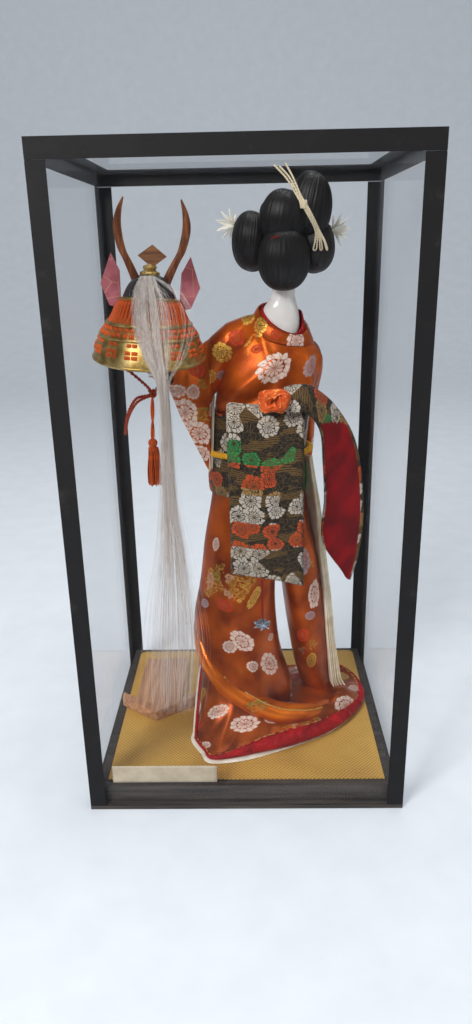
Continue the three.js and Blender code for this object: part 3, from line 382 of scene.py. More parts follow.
def skin(name, grid, wrapped=False, ends=False, laid=None):
    """Mesh over rows of points. Its UV map is the cloth laid flat, in metres, or as laid puts it."""
    rows, columns = grid.shape[:2]
    spans = columns if wrapped else columns - 1
    rim = np.concatenate([grid, grid[:, :1]], axis=1) if wrapped else grid
    u = np.zeros((rows, spans + 1))
    u[:, 1:] = lengths(rim, 1).cumsum(axis=1)
    u -= u[:, -1:] / 2
    v = np.zeros((rows, spans + 1))
    v[1:] = lengths(rim).cumsum(axis=0)
    if laid:
        u, v = laid(rim)
    faces, flat = [], []
    for i in range(rows - 1):
        for j in range(spans):
            n = (j + 1) % columns
            faces.append((i * columns + j, i * columns + n, (i + 1) * columns + n, (i + 1) * columns + j))
            for a, b in ((i, j), (i, j + 1), (i + 1, j + 1), (i + 1, j)):
                flat.append((u[a, b], v[a, b]))
    if ends:
        for row in (0, rows - 1):
            faces.append(tuple(row * columns + j for j in range(columns)))
            flat.extend((u[row, j], v[row, j]) for j in range(columns))
    mesh = bpy.data.meshes.new(name)
    mesh.from_pydata(grid.reshape(-1, 3).tolist(), [], faces)
    layer = mesh.uv_layers.new(name="laid_flat")
    layer.data.foreach_set("uv", np.asarray(flat, float).ravel())
    tidy = bmesh.new()
    tidy.from_mesh(mesh)
    bmesh.ops.recalc_face_normals(tidy, faces=tidy.faces)
    tidy.to_mesh(mesh)
    tidy.free()
    mesh.shade_smooth()
    return mesh


def piece(data, finish, body, slot, *stands_for):
    """Object that rides on a body and stands for some CAD nodes."""
    made = bpy.data.objects.new(data.name, data)
    scene.collection.objects.link(made)
    for one in finish if isinstance(finish, (list, tuple)) else [finish]:
        data.materials.append(one.material)
    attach(made, body)
    if stands_for:
        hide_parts(*stands_for)
    return made


def mottled(name, place, noise, tones, gloss, depth=None, stretch=(1.0, 1.0, 1.0), **sockets):
    """A finish whose colour, gloss and relief all follow one noise."""
    finish = Finish(name)
    spots = finish.noise(finish.where(stretch, place), *noise)
    if isinstance(gloss, tuple):
        gloss = finish.band(spots, *gloss)
    if depth:
        sockets["Normal"] = finish.relief(spots, depth)
    return finish.set(Base_Color=finish.steps(spots, tones), Roughness=gloss, **sockets)


raw_wood = grained_wood("raw_frame_wood", "8a6540", "b98f62", 2, 0.6, 0.1)
dress(raw_wood, "leg_dowel_left", "leg_dowel_right")
core_heights = np.linspace(WAIST + 0.3, CORE_TOP, CORE_ROWS)
core_grid = torso_grid(core_heights, all_round(CORE_COLUMNS), -CORE_INSET)
hole_heights = np.array([[CORE_TOP - NECK_AT[2]], [-PEG_LENGTH - PEG_PLAY]])
peg_hole = lathe(PEG_RADIUS + PEG_PLAY, all_round(CORE_COLUMNS), hole_heights) + NECK_AT
core_grid = over_brocade(np.concatenate([core_grid, peg_hole]))
torso_mesh = skin("padded_torso_core", core_grid, wrapped=True, ends=True)
piece(torso_mesh, raw_wood, "base", "frame_wood", "torso_core")

drawn_wire = mottled(
    "drawn_steel_wire", "Object", (1.0, 3.0), [(0.3, "7d7f82"), (0.7, "a9abad")], (0.3, 0.7, 0.3, 0.5),
    stretch=(900.0, 900.0, 90.0), Metallic=1.0,
)
dress(drawn_wire, "arm_wire_left", "arm_wire_right")


# Bodice of the kimono
# Orange satin brocade, cut in one with the shoulders and stitched to the torso. Woven
# chrysanthemums in white, gold and red are strewn over it, and it creases towards the raised arm.
BODICE_ROWS = 56
BODICE_COLUMNS = 150
# Creases seen from the back: line of (x, height), half-width, height of the crease
BODICE_CREASES = [
    ([(-14, 264), (6, 281), (20, 292), (27, 298)], 5.0, 2.6),
    ([(-10, 258), (10, 270), (24, 281)], 4.0, -1.6),
    ([(15, 316), (19, 303), (22, 296)], 2.2, 1.3),
    ([(46, 300), (50, 282), (49, 264)], 4.0, 1.9),
    ([(56, 300), (57, 283), (54, 262)], 3.0, -1.4),
    ([(36, 272), (42, 266), (46, 258)], 4.0, 1.4),
    ([(-8, 300), (4, 306), (16, 316)], 3.5, 1.5),
]
# Woven flowers: x, height, radius, squash, turn, kind
WHITE, GOLD, RED, MAUVE, SPRIGS = range(5)
BODICE_FLOWERS = [
    (24, 292, 13, 0.95, 10, WHITE),
    (51, 293, 8.5, 0.8, 70, MAUVE),
    (4, 311, 9, 0.9, 0, GOLD),
    (15, 318, 8.5, 0.8, 40, GOLD),
    (12, 304, 5, 0.8, 0, RED),
    (37, 275, 5, 0.8, 0, GOLD),
    (6, 307, 14, 0.8, 30, SPRIGS),
    (44, 270, 9, 0.7, 60, SPRIGS),
]
KINDS_APART = 10
OTHER_FLOWERS = (6.0, 10.5)
# No cloth counts as narrower than this, or as a smaller share of its width times its length
LEAST_WIDTH = 0.01
LEAST_SHARE = 0.31


def crease(grid, line, half_width, height):
    """Height of a soft crease along a line of (x, height) on the side that faces the back."""
    x, z = grid[:, :, 0], grid[:, :, 2]
    nearest = np.full(x.shape, 1e9)
    for (x0, z0), (x1, z1) in zip(line, line[1:]):
        along = np.clip(((x - x0) * (x1 - x0) + (z - z0) * (z1 - z0)) / ((x1 - x0) ** 2 + (z1 - z0) ** 2), 0, 1)
        nearest = np.minimum(nearest, np.hypot(x - x0 - along * (x1 - x0), z - z0 - along * (z1 - z0)))
    return height * np.exp(-((nearest / half_width) ** 2))


def thicken(made, thickness, offset=0.0, rounds=0):
    """Gives a sheet its real thickness, and rounds its facets."""
    if thickness:
        layer = made.modifiers.new("cloth_thickness", "SOLIDIFY")
        layer.thickness = thickness
        layer.offset = offset
    if rounds:
        smooth = made.modifiers.new("smooth_cloth", "SUBSURF")
        smooth.levels = smooth.render_levels = rounds
    return made


def cut_size(grid):
    """Width, length and area of the cloth that a grid was cut from, in metres."""
    width = max(lengths(grid, 1).sum(axis=1).max(), LEAST_WIDTH)
    length = lengths(grid).sum(axis=0).max()
    a, b, c = grid[:-1, :-1], grid[:-1, 1:], grid[1:, :-1]
    area = np.linalg.norm(np.cross(b - a, c - a), axis=2).sum()
    return (float(width), float(length)), float(np.clip(area, LEAST_SHARE * width * length, width * length))


def cloth_piece(mesh, grid, finish, slot, *stands_for, thick=0.0, offset=0.0, rounds=0, **laid):
    """A cloth on the doll: its finish and its thickness; its cut size is worked out but not kept. How it is held and
    on what is not used.
    """
    made = thicken(piece(mesh, finish, "base", slot, *stands_for), thick, offset, rounds)
    flat, area = cut_size(grid)


def strew(mesh, seen=(), seed=0, spread=True, lying=False):
    """Lays woven flowers on a cloth: those seen from the back, then others at random out of sight.

    On a cloth that lies, the second number is the place from front to back. A second UV map holds the
    round coordinates of the nearest flower, moved aside by its kind. Sprigs lie under the rest."""
    flat, place = np.empty(2 * len(mesh.loops)), np.empty(3 * len(mesh.vertices))
    corner, faces = np.empty(len(mesh.loops), int), np.empty(len(mesh.polygons), int)
    outward = np.empty(3 * len(mesh.polygons))
    mesh.uv_layers["laid_flat"].data.foreach_get("uv", flat)
    mesh.vertices.foreach_get("co", place)
    mesh.loops.foreach_get("vertex_index", corner)
    mesh.polygons.foreach_get("loop_total", faces)
    mesh.polygons.foreach_get("normal", outward)
    flat = flat.reshape(-1, 2) / MM
    place = (place.reshape(-1, 3)[corner] - (0, 0, FLOOR)) / MM
    face_of = np.repeat(np.arange(len(faces)), faces)
    behind = outward[1::3][face_of] < 0
    flowers = []
    for across, up, radius, squash, turn, kind in seen:
        miss = np.hypot(place[:, 0] - across, place[:, 1 if lying else 2] - up) + 1e4 * ~(behind | lying)
        flowers.append((*flat[miss.argmin()], radius, squash, math.radians(turn), kind))
    rng = np.random.default_rng(seed)
    for spot in rng.permutation(len(flat))[:500] if spread else ():
        radius, squash, turn = rng.uniform(*OTHER_FLOWERS), rng.uniform(0.6, 1.0), rng.uniform(0, 6.3)
        clear = all(math.hypot(*(flat[spot] - f[:2])) > 1.25 * (radius + f[2]) for f in flowers)
        if clear and not (seen and behind[spot]):
            flowers.append((*flat[spot], radius, squash, turn, rng.choice([WHITE, WHITE, WHITE, GOLD, RED])))
    local = np.full(flat.shape, KINDS_APART / 2.5)
    nearest = np.full(len(faces), 9.0)
    for u, v, radius, squash, turn, kind in flowers:
        away = (flat - (u, v)) / radius
        a = math.cos(turn) * away[:, 0] + math.sin(turn) * away[:, 1]
        b = (math.cos(turn) * away[:, 1] - math.sin(turn) * away[:, 0]) / squash
        far = np.bincount(face_of, np.hypot(a, b)) / faces + (kind == SPRIGS)
        closer = far < nearest
        nearest[closer] = far[closer]
        local[closer[face_of]] = np.stack([a + KINDS_APART * kind, b], axis=1)[closer[face_of]]
    mesh.uv_layers.new(name="flowers").data.foreach_set("uv", local.ravel())
    mesh.uv_layers["laid_flat"].active_render = True
    return mesh


def woven_petals(finish, share, angle, petals, line, jag):
    """A chrysanthemum in two tiers of petals: where it is woven, and the lines drawn in it."""
    uneven = jag - 0.5
    share = share + uneven * 0.5
    angle = angle + uneven * 0.9
    tiers = share ** 1.25 * 2.0
    turned = finish.number("FLOOR", tiers) * (math.pi / 2)
    turned = angle * (petals / 2) + turned
    wave = abs(finish.number("COSINE", turned))
    tip = wave ** 0.5 * 0.4 + 0.56
    closed = finish.band(tip - finish.number("FRACT", tiers), 0.0, 0.1)
    apart = finish.band(wave * (share + 0.1), 0.5 * line, line)
    whole = finish.band(share, 1.0, 0.98)
    petal = whole * (closed * apart)
    vein = abs(finish.number("SINE", turned * 3.0))
    drawn = finish.band(vein * (share + 0.3), 0.1, 0.42, 1.0, 0.0)
    return petal, drawn


def blossoms(finish, where, cell, petals, small, large, line):
    """Small flowers woven one to a cell: where, the lines drawn in them, and a lucky number each."""
    scaled = finish.add("VectorMath", {0: where, "Scale": 1 / cell}, operation="SCALE")
    sockets = {"Vector": scaled, "Scale": 1.0, "Randomness": 0.85}
    _, lucky, position, *_ = finish.add("TexVoronoi", sockets, voronoi_dimensions="2D", feature="F1").all()
    away = finish.add("VectorMath", {0: scaled, 1: position}, operation="SUBTRACT")
    far = finish.add("VectorMath", {0: away}, "Value", operation="LENGTH")
    dx, dy, _ = finish.add("SeparateXYZ", {0: away}).all()
    kind, size, turn = finish.add("SeparateColor", {0: lucky}).all()
    angle = finish.number("ARCTAN2", dy, dx)
    angle = angle + turn * (2 * math.pi)
    reach = size * (large - small) + small
    jag = finish.noise(where, 2.5 / cell, 1.0)
    petal, drawn = woven_petals(finish, far / reach, angle, petals, line, jag)
    return petal, drawn, kind


def satin_brocade(name, shift, ground=("7a2800", "d4620a"), clouds=0.62, gloss=0.3):
    """Orange satin with the strewn chrysanthemums, over sprigs of small flowers in gold thread."""
    satin = Finish(name)
    flat_at = satin.where(shift=shift)
    beside, up, _ = satin.add("SeparateXYZ", {0: satin.add("UVMap", uv_map="flowers")}).all()
    kind = satin.number("FLOOR", (beside + KINDS_APART / 2) / KINDS_APART)
    beside = beside - kind * KINDS_APART
    far = beside * beside + up * up
    far = satin.number("SQRT", far)
    jag = satin.noise(flat_at, 230.0, 3.0, 0.6)
    angle = satin.number("ARCTAN2", up, beside)
    whole, drawn = woven_petals(satin, far, angle, 11, 0.12, jag)
    sprigs = satin.band(kind, SPRIGS - 0.6, SPRIGS - 0.4)
    whole = whole * satin.band(sprigs, 0.0, 1.0, 0.92, 0.0)
    glint = satin.noise(flat_at, 1300.0, 2.0, 0.8)
    drift = satin.noise(flat_at, 110.0, 2.0, 0.6)
    ragged = far + (drift - 0.5) * 2.6
    cloud = sprigs * satin.band(ragged, 1.0, 0.94)
    cloud = satin.number("MAXIMUM", cloud, satin.band(satin.noise(flat_at, 19.0, 2.0, 0.5), clouds, clouds + 0.03))
    spray, spray_lines, spray_kind = blossoms(satin, flat_at, 0.0085, 7, 0.45, 0.62, 0.2)
    leaf = satin.noise(satin.where((1.0, 1.7, 1.0), shift=shift), 330.0, 3.0, 0.6)
    woven = cloud * satin.band(leaf, 0.45, 0.55)
    spray = cloud * spray
    tone = satin.noise(flat_at, 36.0, 3.0)
    base = satin.blend(tone, ground[0], ground[1], 0.25, 0.75)
    gold = satin.blend(glint, "8a5a14", "ffd870", 0.38, 0.62)
    base = satin.blend(woven * 0.6, base, gold)
    spray_dye = satin.steps(
        spray_kind, [(0.0, "a8762a"), (0.3, "c02414"), (0.5, "c99a40"), (0.66, "6f8438"), (0.88, "dcb09a")], "CONSTANT"
    )
    spray_dye = satin.blend(spray_lines, spray_dye, "8f4410")
    base = satin.blend(spray * 0.7, base, spray_dye)
    dyed = kind * 0.2 + 0.05
    dye = satin.steps(dyed, [(0.0, "ecd6c8"), (0.2, "eab64c"), (0.4, "c42018"), (0.6, "b8a2a4")], "CONSTANT")
    lines = satin.steps(dyed, [(0.0, "bc6038"), (0.2, "a04c10"), (0.4, "e89a3a"), (0.6, "6e4440")], "CONSTANT")
    base = satin.blend(whole, base, satin.blend(drawn * 0.65, dye, lines))
    gilded = satin.band(abs(kind - GOLD), 0.6, 0.4)
    gilded = whole * gilded
    base = satin.blend(gilded * 0.6, base, gold)
    metal = satin.number("MAXIMUM", woven, spray * 0.6)
    metal = satin.number("MAXIMUM", metal * (1.0 - whole), gilded)
    matt = whole - gilded
    sockets = {"Vector": flat_at, "Scale": 260.0, "Distortion": 0.8}
    weft = satin.add("TexWave", sockets, 1, bands_direction="DIAGONAL")
    rough_thread = glint * (metal + 0.3)
    pattern = whole * (1.0 - drawn * 0.7)
    raised = satin.relief(pattern + rough_thread, 0.00018)
    return satin.set(
        Base_Color=base,
        Metallic=satin.band(metal - matt, -1.0, 1.0, 0.1, 0.9),
        Roughness=satin.band(satin.number("MAXIMUM", matt, metal), 0.0, 1.0, gloss, 0.48),
        Specular_IOR_Level=0.22,
        Normal=satin.relief(weft, 0.00003, raised),
        Sheen_Weight=0.02,
        Sheen_Roughness=0.4,
        Anisotropic=0.3,
    )


bodice_heights = np.linspace(WAIST, NAPE, BODICE_ROWS)
round_bodice = all_round(BODICE_COLUMNS)
bodice_grid = torso_grid(bodice_heights, round_bodice)
back_share = eased(-np.sin(round_bodice), 0.0, 0.35)
bodice_swell = sum(crease(bodice_grid, *one) for one in BODICE_CREASES) * back_share
front_wrap = 1.2 * np.sin(3 * round_bodice + bodice_heights[:, None] / 18) * (1 - back_share)
bodice_grid = over_brocade(torso_grid(bodice_heights, round_bodice, bodice_swell + 0.5 * front_wrap))

bodice_satin = satin_brocade("orange_satin_bodice", (0.0112, 0.0085, 0.0), gloss=0.37)
bodice_mesh = strew(skin("bodice_cloth", bodice_grid, wrapped=True), BODICE_FLOWERS, 1)
cloth_piece(
    bodice_mesh, bodice_grid, bodice_satin, "kimono", "bodice", thick=0.0012, offset=-1.0,
    held="gathered", rests_on=["padded_torso_core"],
)


# Collars
# The kimono's own collar is a folded satin band sewn along the neck edge and pulled down at the
# nape. Inside it stands a collar of plain red silk, which shows as a line beside the neck.
COLLAR_HEIGHT = 11
COLLAR_ROWS = 12
COLLAR_OUT = 1.3
INNER_COLLAR_INSET = 2.4
INNER_COLLAR_SHOW = 0.8
INNER_COLLAR_RIGHT = 8.0
# The collar's two ends cross on the breast and run down under the sash: side, how far out they lie
LAPELS = (("under", 1, 1.0), ("over", -1, 2.2))
LAPEL_DROP = 68
LAPEL_HALF_WIDTH = 5.0
COLLAR_FLOWERS = [(40, 310, 9, 0.8, 90, WHITE), (15, 321, 7, 0.8, 30, GOLD), (26, 315, 4, 0.8, 0, RED)]


def within_half_turn(angle):
    """The same angle, counted from minus half a turn to half a turn."""
    return (angle + math.pi) % (2 * math.pi) - math.pi


def silk(name, dark, pale, roughness=0.55):
    """Plain dyed silk with a crepe weave."""
    cloth = Finish(name)
    crepe = cloth.noise("UV", 1800.0, 3.0, 0.7)
    shade = cloth.noise("UV", 60.0, 4.0)
    tone = cloth.blend(shade, dark, pale, 0.3, 0.7)
    return cloth.set(
        Base_Color=cloth.blend(crepe, tone, dark, 0.3, 0.8, 0.0, 0.12),
        Roughness=cloth.band(crepe, 0.3, 0.7, roughness, roughness + 0.15),
        Normal=cloth.relief(crepe, 0.00003),
        Sheen_Weight=0.03,
        Sheen_Roughness=0.35,
        Specular_IOR_Level=0.15,
    )


red_silk = silk("red_lining_silk", "78080a", "b01016")

collar_share = np.linspace(0, 1, COLLAR_ROWS)
collar_heights = NAPE - COLLAR_HEIGHT * (1 - collar_share)
collar_out = COLLAR_OUT * np.sin(np.pi * collar_share)[:, None] ** 0.6 + 0.2
collar_grid = over_brocade(torso_grid(collar_heights, round_bodice, collar_out))
collar_mesh = strew(skin("collar_band", collar_grid, wrapped=True), COLLAR_FLOWERS, 2)
cloth_piece(
    collar_mesh, collar_grid, bodice_satin, "kimono", thick=0.0012,
    held="folded", rests_on=["bodice_cloth"],
)

lapel_fall = np.linspace(0, 1, 30)
lapel_heights = NAPE - 0.5 - LAPEL_DROP * lapel_fall
lapel_reach = section(TORSO, lapel_heights)[:, 2]
for name, side, out in LAPELS:
    middle = math.pi / 2 + side * (1.15 - 1.5 * lapel_fall**0.8)
    rows = [
        torso_grid(np.array([z]), m + np.linspace(-1, 1, 7) * LAPEL_HALF_WIDTH / reach, out)[0]
        for z, m, reach in zip(lapel_heights, middle, lapel_reach)
    ]
    grid = over_brocade(np.array(rows))
    cloth_piece(
        strew(skin(f"collar_end_{name}", grid), (), 8 + side), grid, bodice_satin, "kimono", thick=0.0011,
        held="folded", rests_on=["bodice_cloth"],
    )

to_right = within_half_turn(round_bodice - 0.3)
inner_show = INNER_COLLAR_SHOW + INNER_COLLAR_RIGHT * np.exp(-((to_right / 0.7) ** 2))
inner_grid = torso_grid(collar_heights, round_bodice, -INNER_COLLAR_INSET)
inner_grid[:, :, 2] += collar_share[:, None] * inner_show
inner_grid = over_brocade(inner_grid)
cloth_piece(
    skin("inner_collar_silk", inner_grid, wrapped=True), inner_grid, red_silk, "red_silk", "inner_collar", thick=0.001,
    held="folded", rests_on=["padded_torso_core"],
)


# Sleeves
# Each is a long bag of the same satin hung from the arm, open on the body side, where the edges
# of its cream under-sleeves show in layers. The left one falls to a point under the raised arm.

# Stations along the arm: x, y, top, bottom, half-depth high and low, sway of the low part
LEFT_SLEEVE = [
    (14, 6, 328, 300, 8, 7, 0),
    (4, 8, 326, 290, 13, 10, 0),
    (-10, 8, 321, 281, 13.5, 7, 0),
    (-21, 8, 312, 270, 12, 5, -9),
    (-24, 8, 309, 212, 12, 3.5, -15),
    (-34, 4, 302, 234, 11, 3.5, -12),
    (-44, -2, 298, 256, 9.5, 3.5, -7),
    (-52, -8, 295, 281, 7, 5, 0),
]
RIGHT_SLEEVE = [
    (40, 8, 311, 288, 10, 8, 0),
    (50, 14, 308, 268, 12, 7, 0),
    (54, 30, 299, 206, 11, 3.5, 6),
    (47, 44, 294, 216, 10, 3.5, 4),
    (33, 51, 289, 264, 8, 5, 0),
]
SLEEVE_FLOWERS = [
    (-2, 313, 6.5, 0.9, 0, RED),
    (-13, 303, 8, 0.9, 30, GOLD),
    (-31, 288.5, 6.5, 0.8, 20, RED),
    (-22.5, 285, 6.5, 0.8, 0, GOLD),
    (-13, 286, 5, 0.8, 0, MAUVE),
    (-47, 276, 6, 0.9, 0, WHITE),
    (-35.5, 274.7, 6.5, 0.8, 30, WHITE),
    (-41, 260, 11.6, 0.8, 60, WHITE),
    (-32, 245, 10.5, 0.85, 20, WHITE),
    (-31, 228.5, 7.5, 0.8, 50, WHITE),
    (2, 290, 6, 0.8, 50, GOLD),
    (-10, 299, 12, 0.7, 30, SPRIGS),
    (-30, 282, 11, 0.6, 20, SPRIGS),
]
SLEEVE_STEPS = 7
SLEEVE_COLUMNS = 64
UNDER_SLEEVES = 3
UNDER_SLEEVE_GAP = 1.1
UNDER_SLEEVE_TOP = 270
UNDER_SLEEVE_FALL = 57


def unit(vectors):
    """Vectors of the same directions, each of length one."""
    return vectors / np.linalg.norm(vectors, axis=-1, keepdims=True)


def read_off(at, keys, table):
    """Rows of a table, read off at places between its keys."""
    return np.stack([np.interp(at, keys, column) for column in np.transpose(table)], axis=1)


def sleeve_grid(stations, folds):
    """Rings of a hanging sleeve, with soft folds that run from the arm down to its point."""
    table = np.asarray(stations, float)
    steps = (len(table) - 1) * SLEEVE_STEPS + 1
    t = np.linspace(0, len(table) - 1, steps)
    s = read_off(t, np.arange(len(table)), table)
    along = unit(np.gradient(s[:, :2], axis=0))
    angle = circle(SLEEVE_COLUMNS)
    height = (1 - np.cos(angle)) / 2
    x, y, top, bottom, high, low, sway = (column[:, None] for column in s.T)
    middle = bottom + (top - bottom) * height
    share = eased((middle - top), -45, -8)
    belly = np.sign(np.sin(angle)) * np.abs(np.sin(angle)) ** 0.7
    half = belly * (low + (high - low) * share)
    ripple = np.sin(t[:, None] * 2.1 * folds + height * 5.0) + 0.6 * np.sin(t[:, None] * 4.7 + height * 9.0)
    half = half + 0.55 * ripple * np.abs(belly) * np.sin(np.pi * height)
    y = y + sway * (1 - share)
    return np.stack([x - along[:, 1:2] * half, y + along[:, 0:1] * half, middle], axis=2)


def as_it_hangs(rim):
    """Lays a sleeve flat as it hangs: its way along the arm, and its height."""
    along_arm = np.concatenate([[0], lengths(rim[:, :-1, :2].mean(axis=1)).cumsum()])
    return np.tile(along_arm[:, None], rim.shape[1]), rim[:, :, 2]


cream_silk = silk("cream_under_silk", "d6c4a4", "f4ead6", 0.6)
sleeve_satin = satin_brocade("orange_satin_sleeves", (0.004, 0.019, 0.0))
for side, stations, folds, flowers in (("left", LEFT_SLEEVE, 1.0, SLEEVE_FLOWERS), ("right", RIGHT_SLEEVE, 1.3, ())):
    grid = over_brocade(sleeve_grid(stations, folds))
    mesh = strew(skin(f"sleeve_{side}_cloth", grid, wrapped=True, laid=as_it_hangs), flowers, 3)
    cloth_piece(
        mesh, grid, sleeve_satin, "kimono", f"sleeve_{side}", thick=0.0009, rounds=1,
        held="hung", rests_on=["bodice_cloth", f"arm_wire_{side}"],
    )

for layer in range(UNDER_SLEEVES):
    z = np.linspace(UNDER_SLEEVE_TOP, 213.5 + 1.5 * layer, 24)
    fall = (UNDER_SLEEVE_TOP - z) / UNDER_SLEEVE_FALL
    outer = np.stack([-21.5 - 3.2 * fall + UNDER_SLEEVE_GAP * layer, -2.5 - 8.2 * fall**0.4, z], axis=1)
    inner = outer + np.array([-1.5, 7.0, 0.0]) * (1 - 0.5 * fall[:, None])
    grid = over_brocade(np.linspace(inner, outer, 5, axis=1))
    cloth_piece(
        skin(f"under_sleeve_edge_{layer}", grid), grid, cream_silk, "cream_silk", thick=0.0005,
        held="hung", rests_on=["sleeve_left_cloth"],
    )


# Hands
# Small carved hands with a coat of polished shell white, pushed on to the ends of the arm wires.
# The left one is under the helmet and the right one is held before the sash.

# Place of each wrist, and the way the hand points
HANDS = {"left": ((-53.5, -9.5, 287), (-1, -1.4, 0.5)), "right": ((31.2, 51.5, 281), (-1, 0.15, 0.25))}
HAND_LENGTH = 22
KNUCKLES = 11
# Place across the hand, share of the longest finger
FINGERS = [(-3.1, 0.84), (-1.1, 1.0), (0.9, 0.97), (2.8, 0.82)]
FINGER_RADIUS = 1.05

shell_white = mottled(
    "polished_shell_white", "Object", (90.0, 5.0), [(0.3, "dedad5"), (0.7, "ece9e4")], (0.3, 0.7, 0.22, 0.34), 0.00004,
    Subsurface_Weight=0.08, Subsurface_Scale=0.002, Coat_Weight=0.25, Coat_Roughness=0.15,
)


def steady_frames(line, closed=False):
    """Two cross directions at each point of a line, turning as little as they can."""
    forward = np.roll(line, -1, axis=0) - np.roll(line, 1, axis=0) if closed else np.gradient(line, axis=0)
    forward = unit(forward)
    aside = np.cross(forward[0], (0.31, 0.17, 0.94))
    frames = []
    for ahead in forward:
        aside = unit(aside - ahead * np.dot(aside, ahead))
        frames.append((aside, np.cross(ahead, aside)))
    return np.swapaxes(frames, 0, 1)[:, :, None]


def tube(points, radii, sides=10):
    """Rings along a line of points, each of its own radius."""
    line = np.asarray(points, float)
    aside, above = steady_frames(line)
    turn = circle(sides)[:, None]
    radii = np.broadcast_to(radii, len(line))[:, None, None]
    return line[:, None] + radii * (np.cos(turn) * aside + np.sin(turn) * above)


def solid(name, rings):
    """A closed solid over rings of points in millimetres over the brocade."""
    return skin(name, over_brocade(rings), wrapped=True, ends=True)


def rod(name, points, radii, sides=10):
    """A closed rod along a line of points in millimetres over the brocade."""
    return solid(name, tube(points, radii, sides))


def together(name, meshes):
    """One mesh of several, with their UV maps and material places kept."""
    whole = bmesh.new()
    for mesh in meshes:
        whole.from_mesh(mesh)
        bpy.data.meshes.remove(mesh)
    joined = bpy.data.meshes.new(name)
    whole.to_mesh(joined)
    whole.free()
    joined.shade_smooth()
    return joined


def hand_mesh(name, wrist, along):
    """Palm, four fingers and a thumb, pointing along from the wrist."""
    forward = unit(along)
    across = unit(np.cross((0.0, 0.0, 1.0), forward))
    upward = np.cross(forward, across)

    def spot(ahead, wide, thick=0.0):
        return wrist + forward * ahead + upward * wide + across * thick

    share = np.linspace(0, 1, 14)
    turn = circle(20)
    wide = 2.6 + 1.9 * eased(share, 0.1, 0.7) - 0.8 * eased(share, 0.85, 1.0)
    thick = 2.0 + 0.5 * np.sin(np.pi * share) - 0.9 * eased(share, 0.8, 1.0)
    palm = np.array(
        [[spot(s * 12.5, w * math.cos(a), k * math.sin(a)) for a in turn] for s, w, k in zip(share, wide, thick)]
    )
    parts = [solid(name, palm)]
    bent = np.linspace(0, 1, 9)
    blunt = np.where(bent < 1, 1.0, 0.4)
    for offset, length in FINGERS:
        reach = (HAND_LENGTH - KNUCKLES) * length
        line = [spot(KNUCKLES + b * reach, offset * (1 + 0.1 * b), 1.6 * b * b) for b in bent]
        parts.append(rod(name, line, FINGER_RADIUS * (1 - 0.35 * bent**2) * blunt))
    line = [spot(4 + 8 * b, 3.0 + 3.2 * b - 1.6 * b * b, 0.8 + b) for b in bent]
    parts.append(rod(name, line, FINGER_RADIUS * (1.15 - 0.4 * bent**2) * blunt))
    return together(name, parts)


for side, (wrist, along) in HANDS.items():
    piece(hand_mesh(f"{side}_hand", wrist, along), shell_white, "base", "skin", f"hand_{side}")


# Skirt
# Two wraps of satin, one round each leg, with a slit of daylight between them. A padded fold
# sweeps down across the back of the left wrap and throws its shadow on the train below.

# Place and half-widths of each wrap: height, x, y, across, deep
LEFT_WRAP = [
    (0, 4, -4, 34, 31),
    (12, 3, -4, 35, 32),
    (30, -1, -4, 39, 34),
    (62, -4, -2, 33, 32),
    (102, -5.5, 0, 30, 29),
    (150, -3, 4, 28, 26),
    (195, -1.5, 8, 21.5, 20.3),
    (221, -1.5, 8, 21.5, 20.3),
]
RIGHT_WRAP = [
    (0, 66, 17, 10, 12),
    (27, 58.5, 16, 13.2, 17),
    (64, 53, 14, 15.2, 19),
    (137, 43.5, 11, 16.2, 19.5),
    (195, 35.2, 8, 13, 17.5),
    (221, 34.5, 8, 12.4, 17.5),
]
LEFT_WRAP_CREASES = [
    ([(14, 165), (4, 120), (-10, 96)], 5.0, 1.5),
    ([(20, 130), (14, 84), (4, 62)], 4.5, 1.4),
    ([(-20, 150), (-26, 118), (-30, 98)], 4.0, 1.2),
]
LEFT_WRAP_FLOWERS = [
    (-1.5, 82, 11.5, 0.62, -38, WHITE),
    (-12, 78, 6.5, 0.8, 20, WHITE),
    (19.5, 57, 11.8, 0.68, -50, WHITE),
    (6, 61.5, 6, 0.75, -30, WHITE),
    (21, 77.5, 4, 0.8, 0, WHITE),
    (-21, 156, 5.5, 0.7, 80, WHITE),
    (-31, 107, 4.6, 0.8, 0, MAUVE),
    (-4, 124, 18, 0.7, 30, SPRIGS),
    (-24, 126, 14, 0.6, 80, SPRIGS),
    (-15, 109, 8, 0.6, -20, RED),
    (8, 115, 8, 0.7, 60, GOLD),
]
RIGHT_WRAP_FLOWERS = [
    (57, 107, 13.5, 0.45, 80, WHITE),
    (46, 138, 13, 0.6, 80, MAUVE),
    (54, 90, 5, 0.8, 0, MAUVE),
    (47, 72, 7.5, 0.7, 60, RED),
    (55, 46, 8, 0.6, 70, GOLD),
    (52, 60, 14, 0.6, 80, SPRIGS),
]
ROLL_FLOWERS = [(-20, 63, 7, 0.75, -40, WHITE), (10, 34, 9, 0.6, 20, SPRIGS)]
SKIRT_ROWS = 110
LEFT_WRAP_COLUMNS = 180
RIGHT_WRAP_COLUMNS = 120
# Middle of the padded fold and its half-thickness, from the left side round the back to the right
ROLL = [
    (-36, 6, 94, 2.5),
    (-35.5, -11, 82, 6),
    (-30, -25, 64, 8),
    (-15, -35.5, 45, 9),
    (5, -40, 31, 9.5),
    (25, -40, 21.5, 9),
    (43, -36.5, 17.5, 8),
    (56, -29, 14.5, 7.2),
    (66, -19, 11, 6.2),
    (73, -8, 7, 5),
    (76, 4, 3, 3),
]
ROLL_RINGS = 140
ROLL_SIDES = 36
ROLL_SLOPE = 26.0
ROLL_TUCK = 7.0
ROLL_END = math.radians(312)
WRAP_MIDDLE = (-2.0, -3.0)


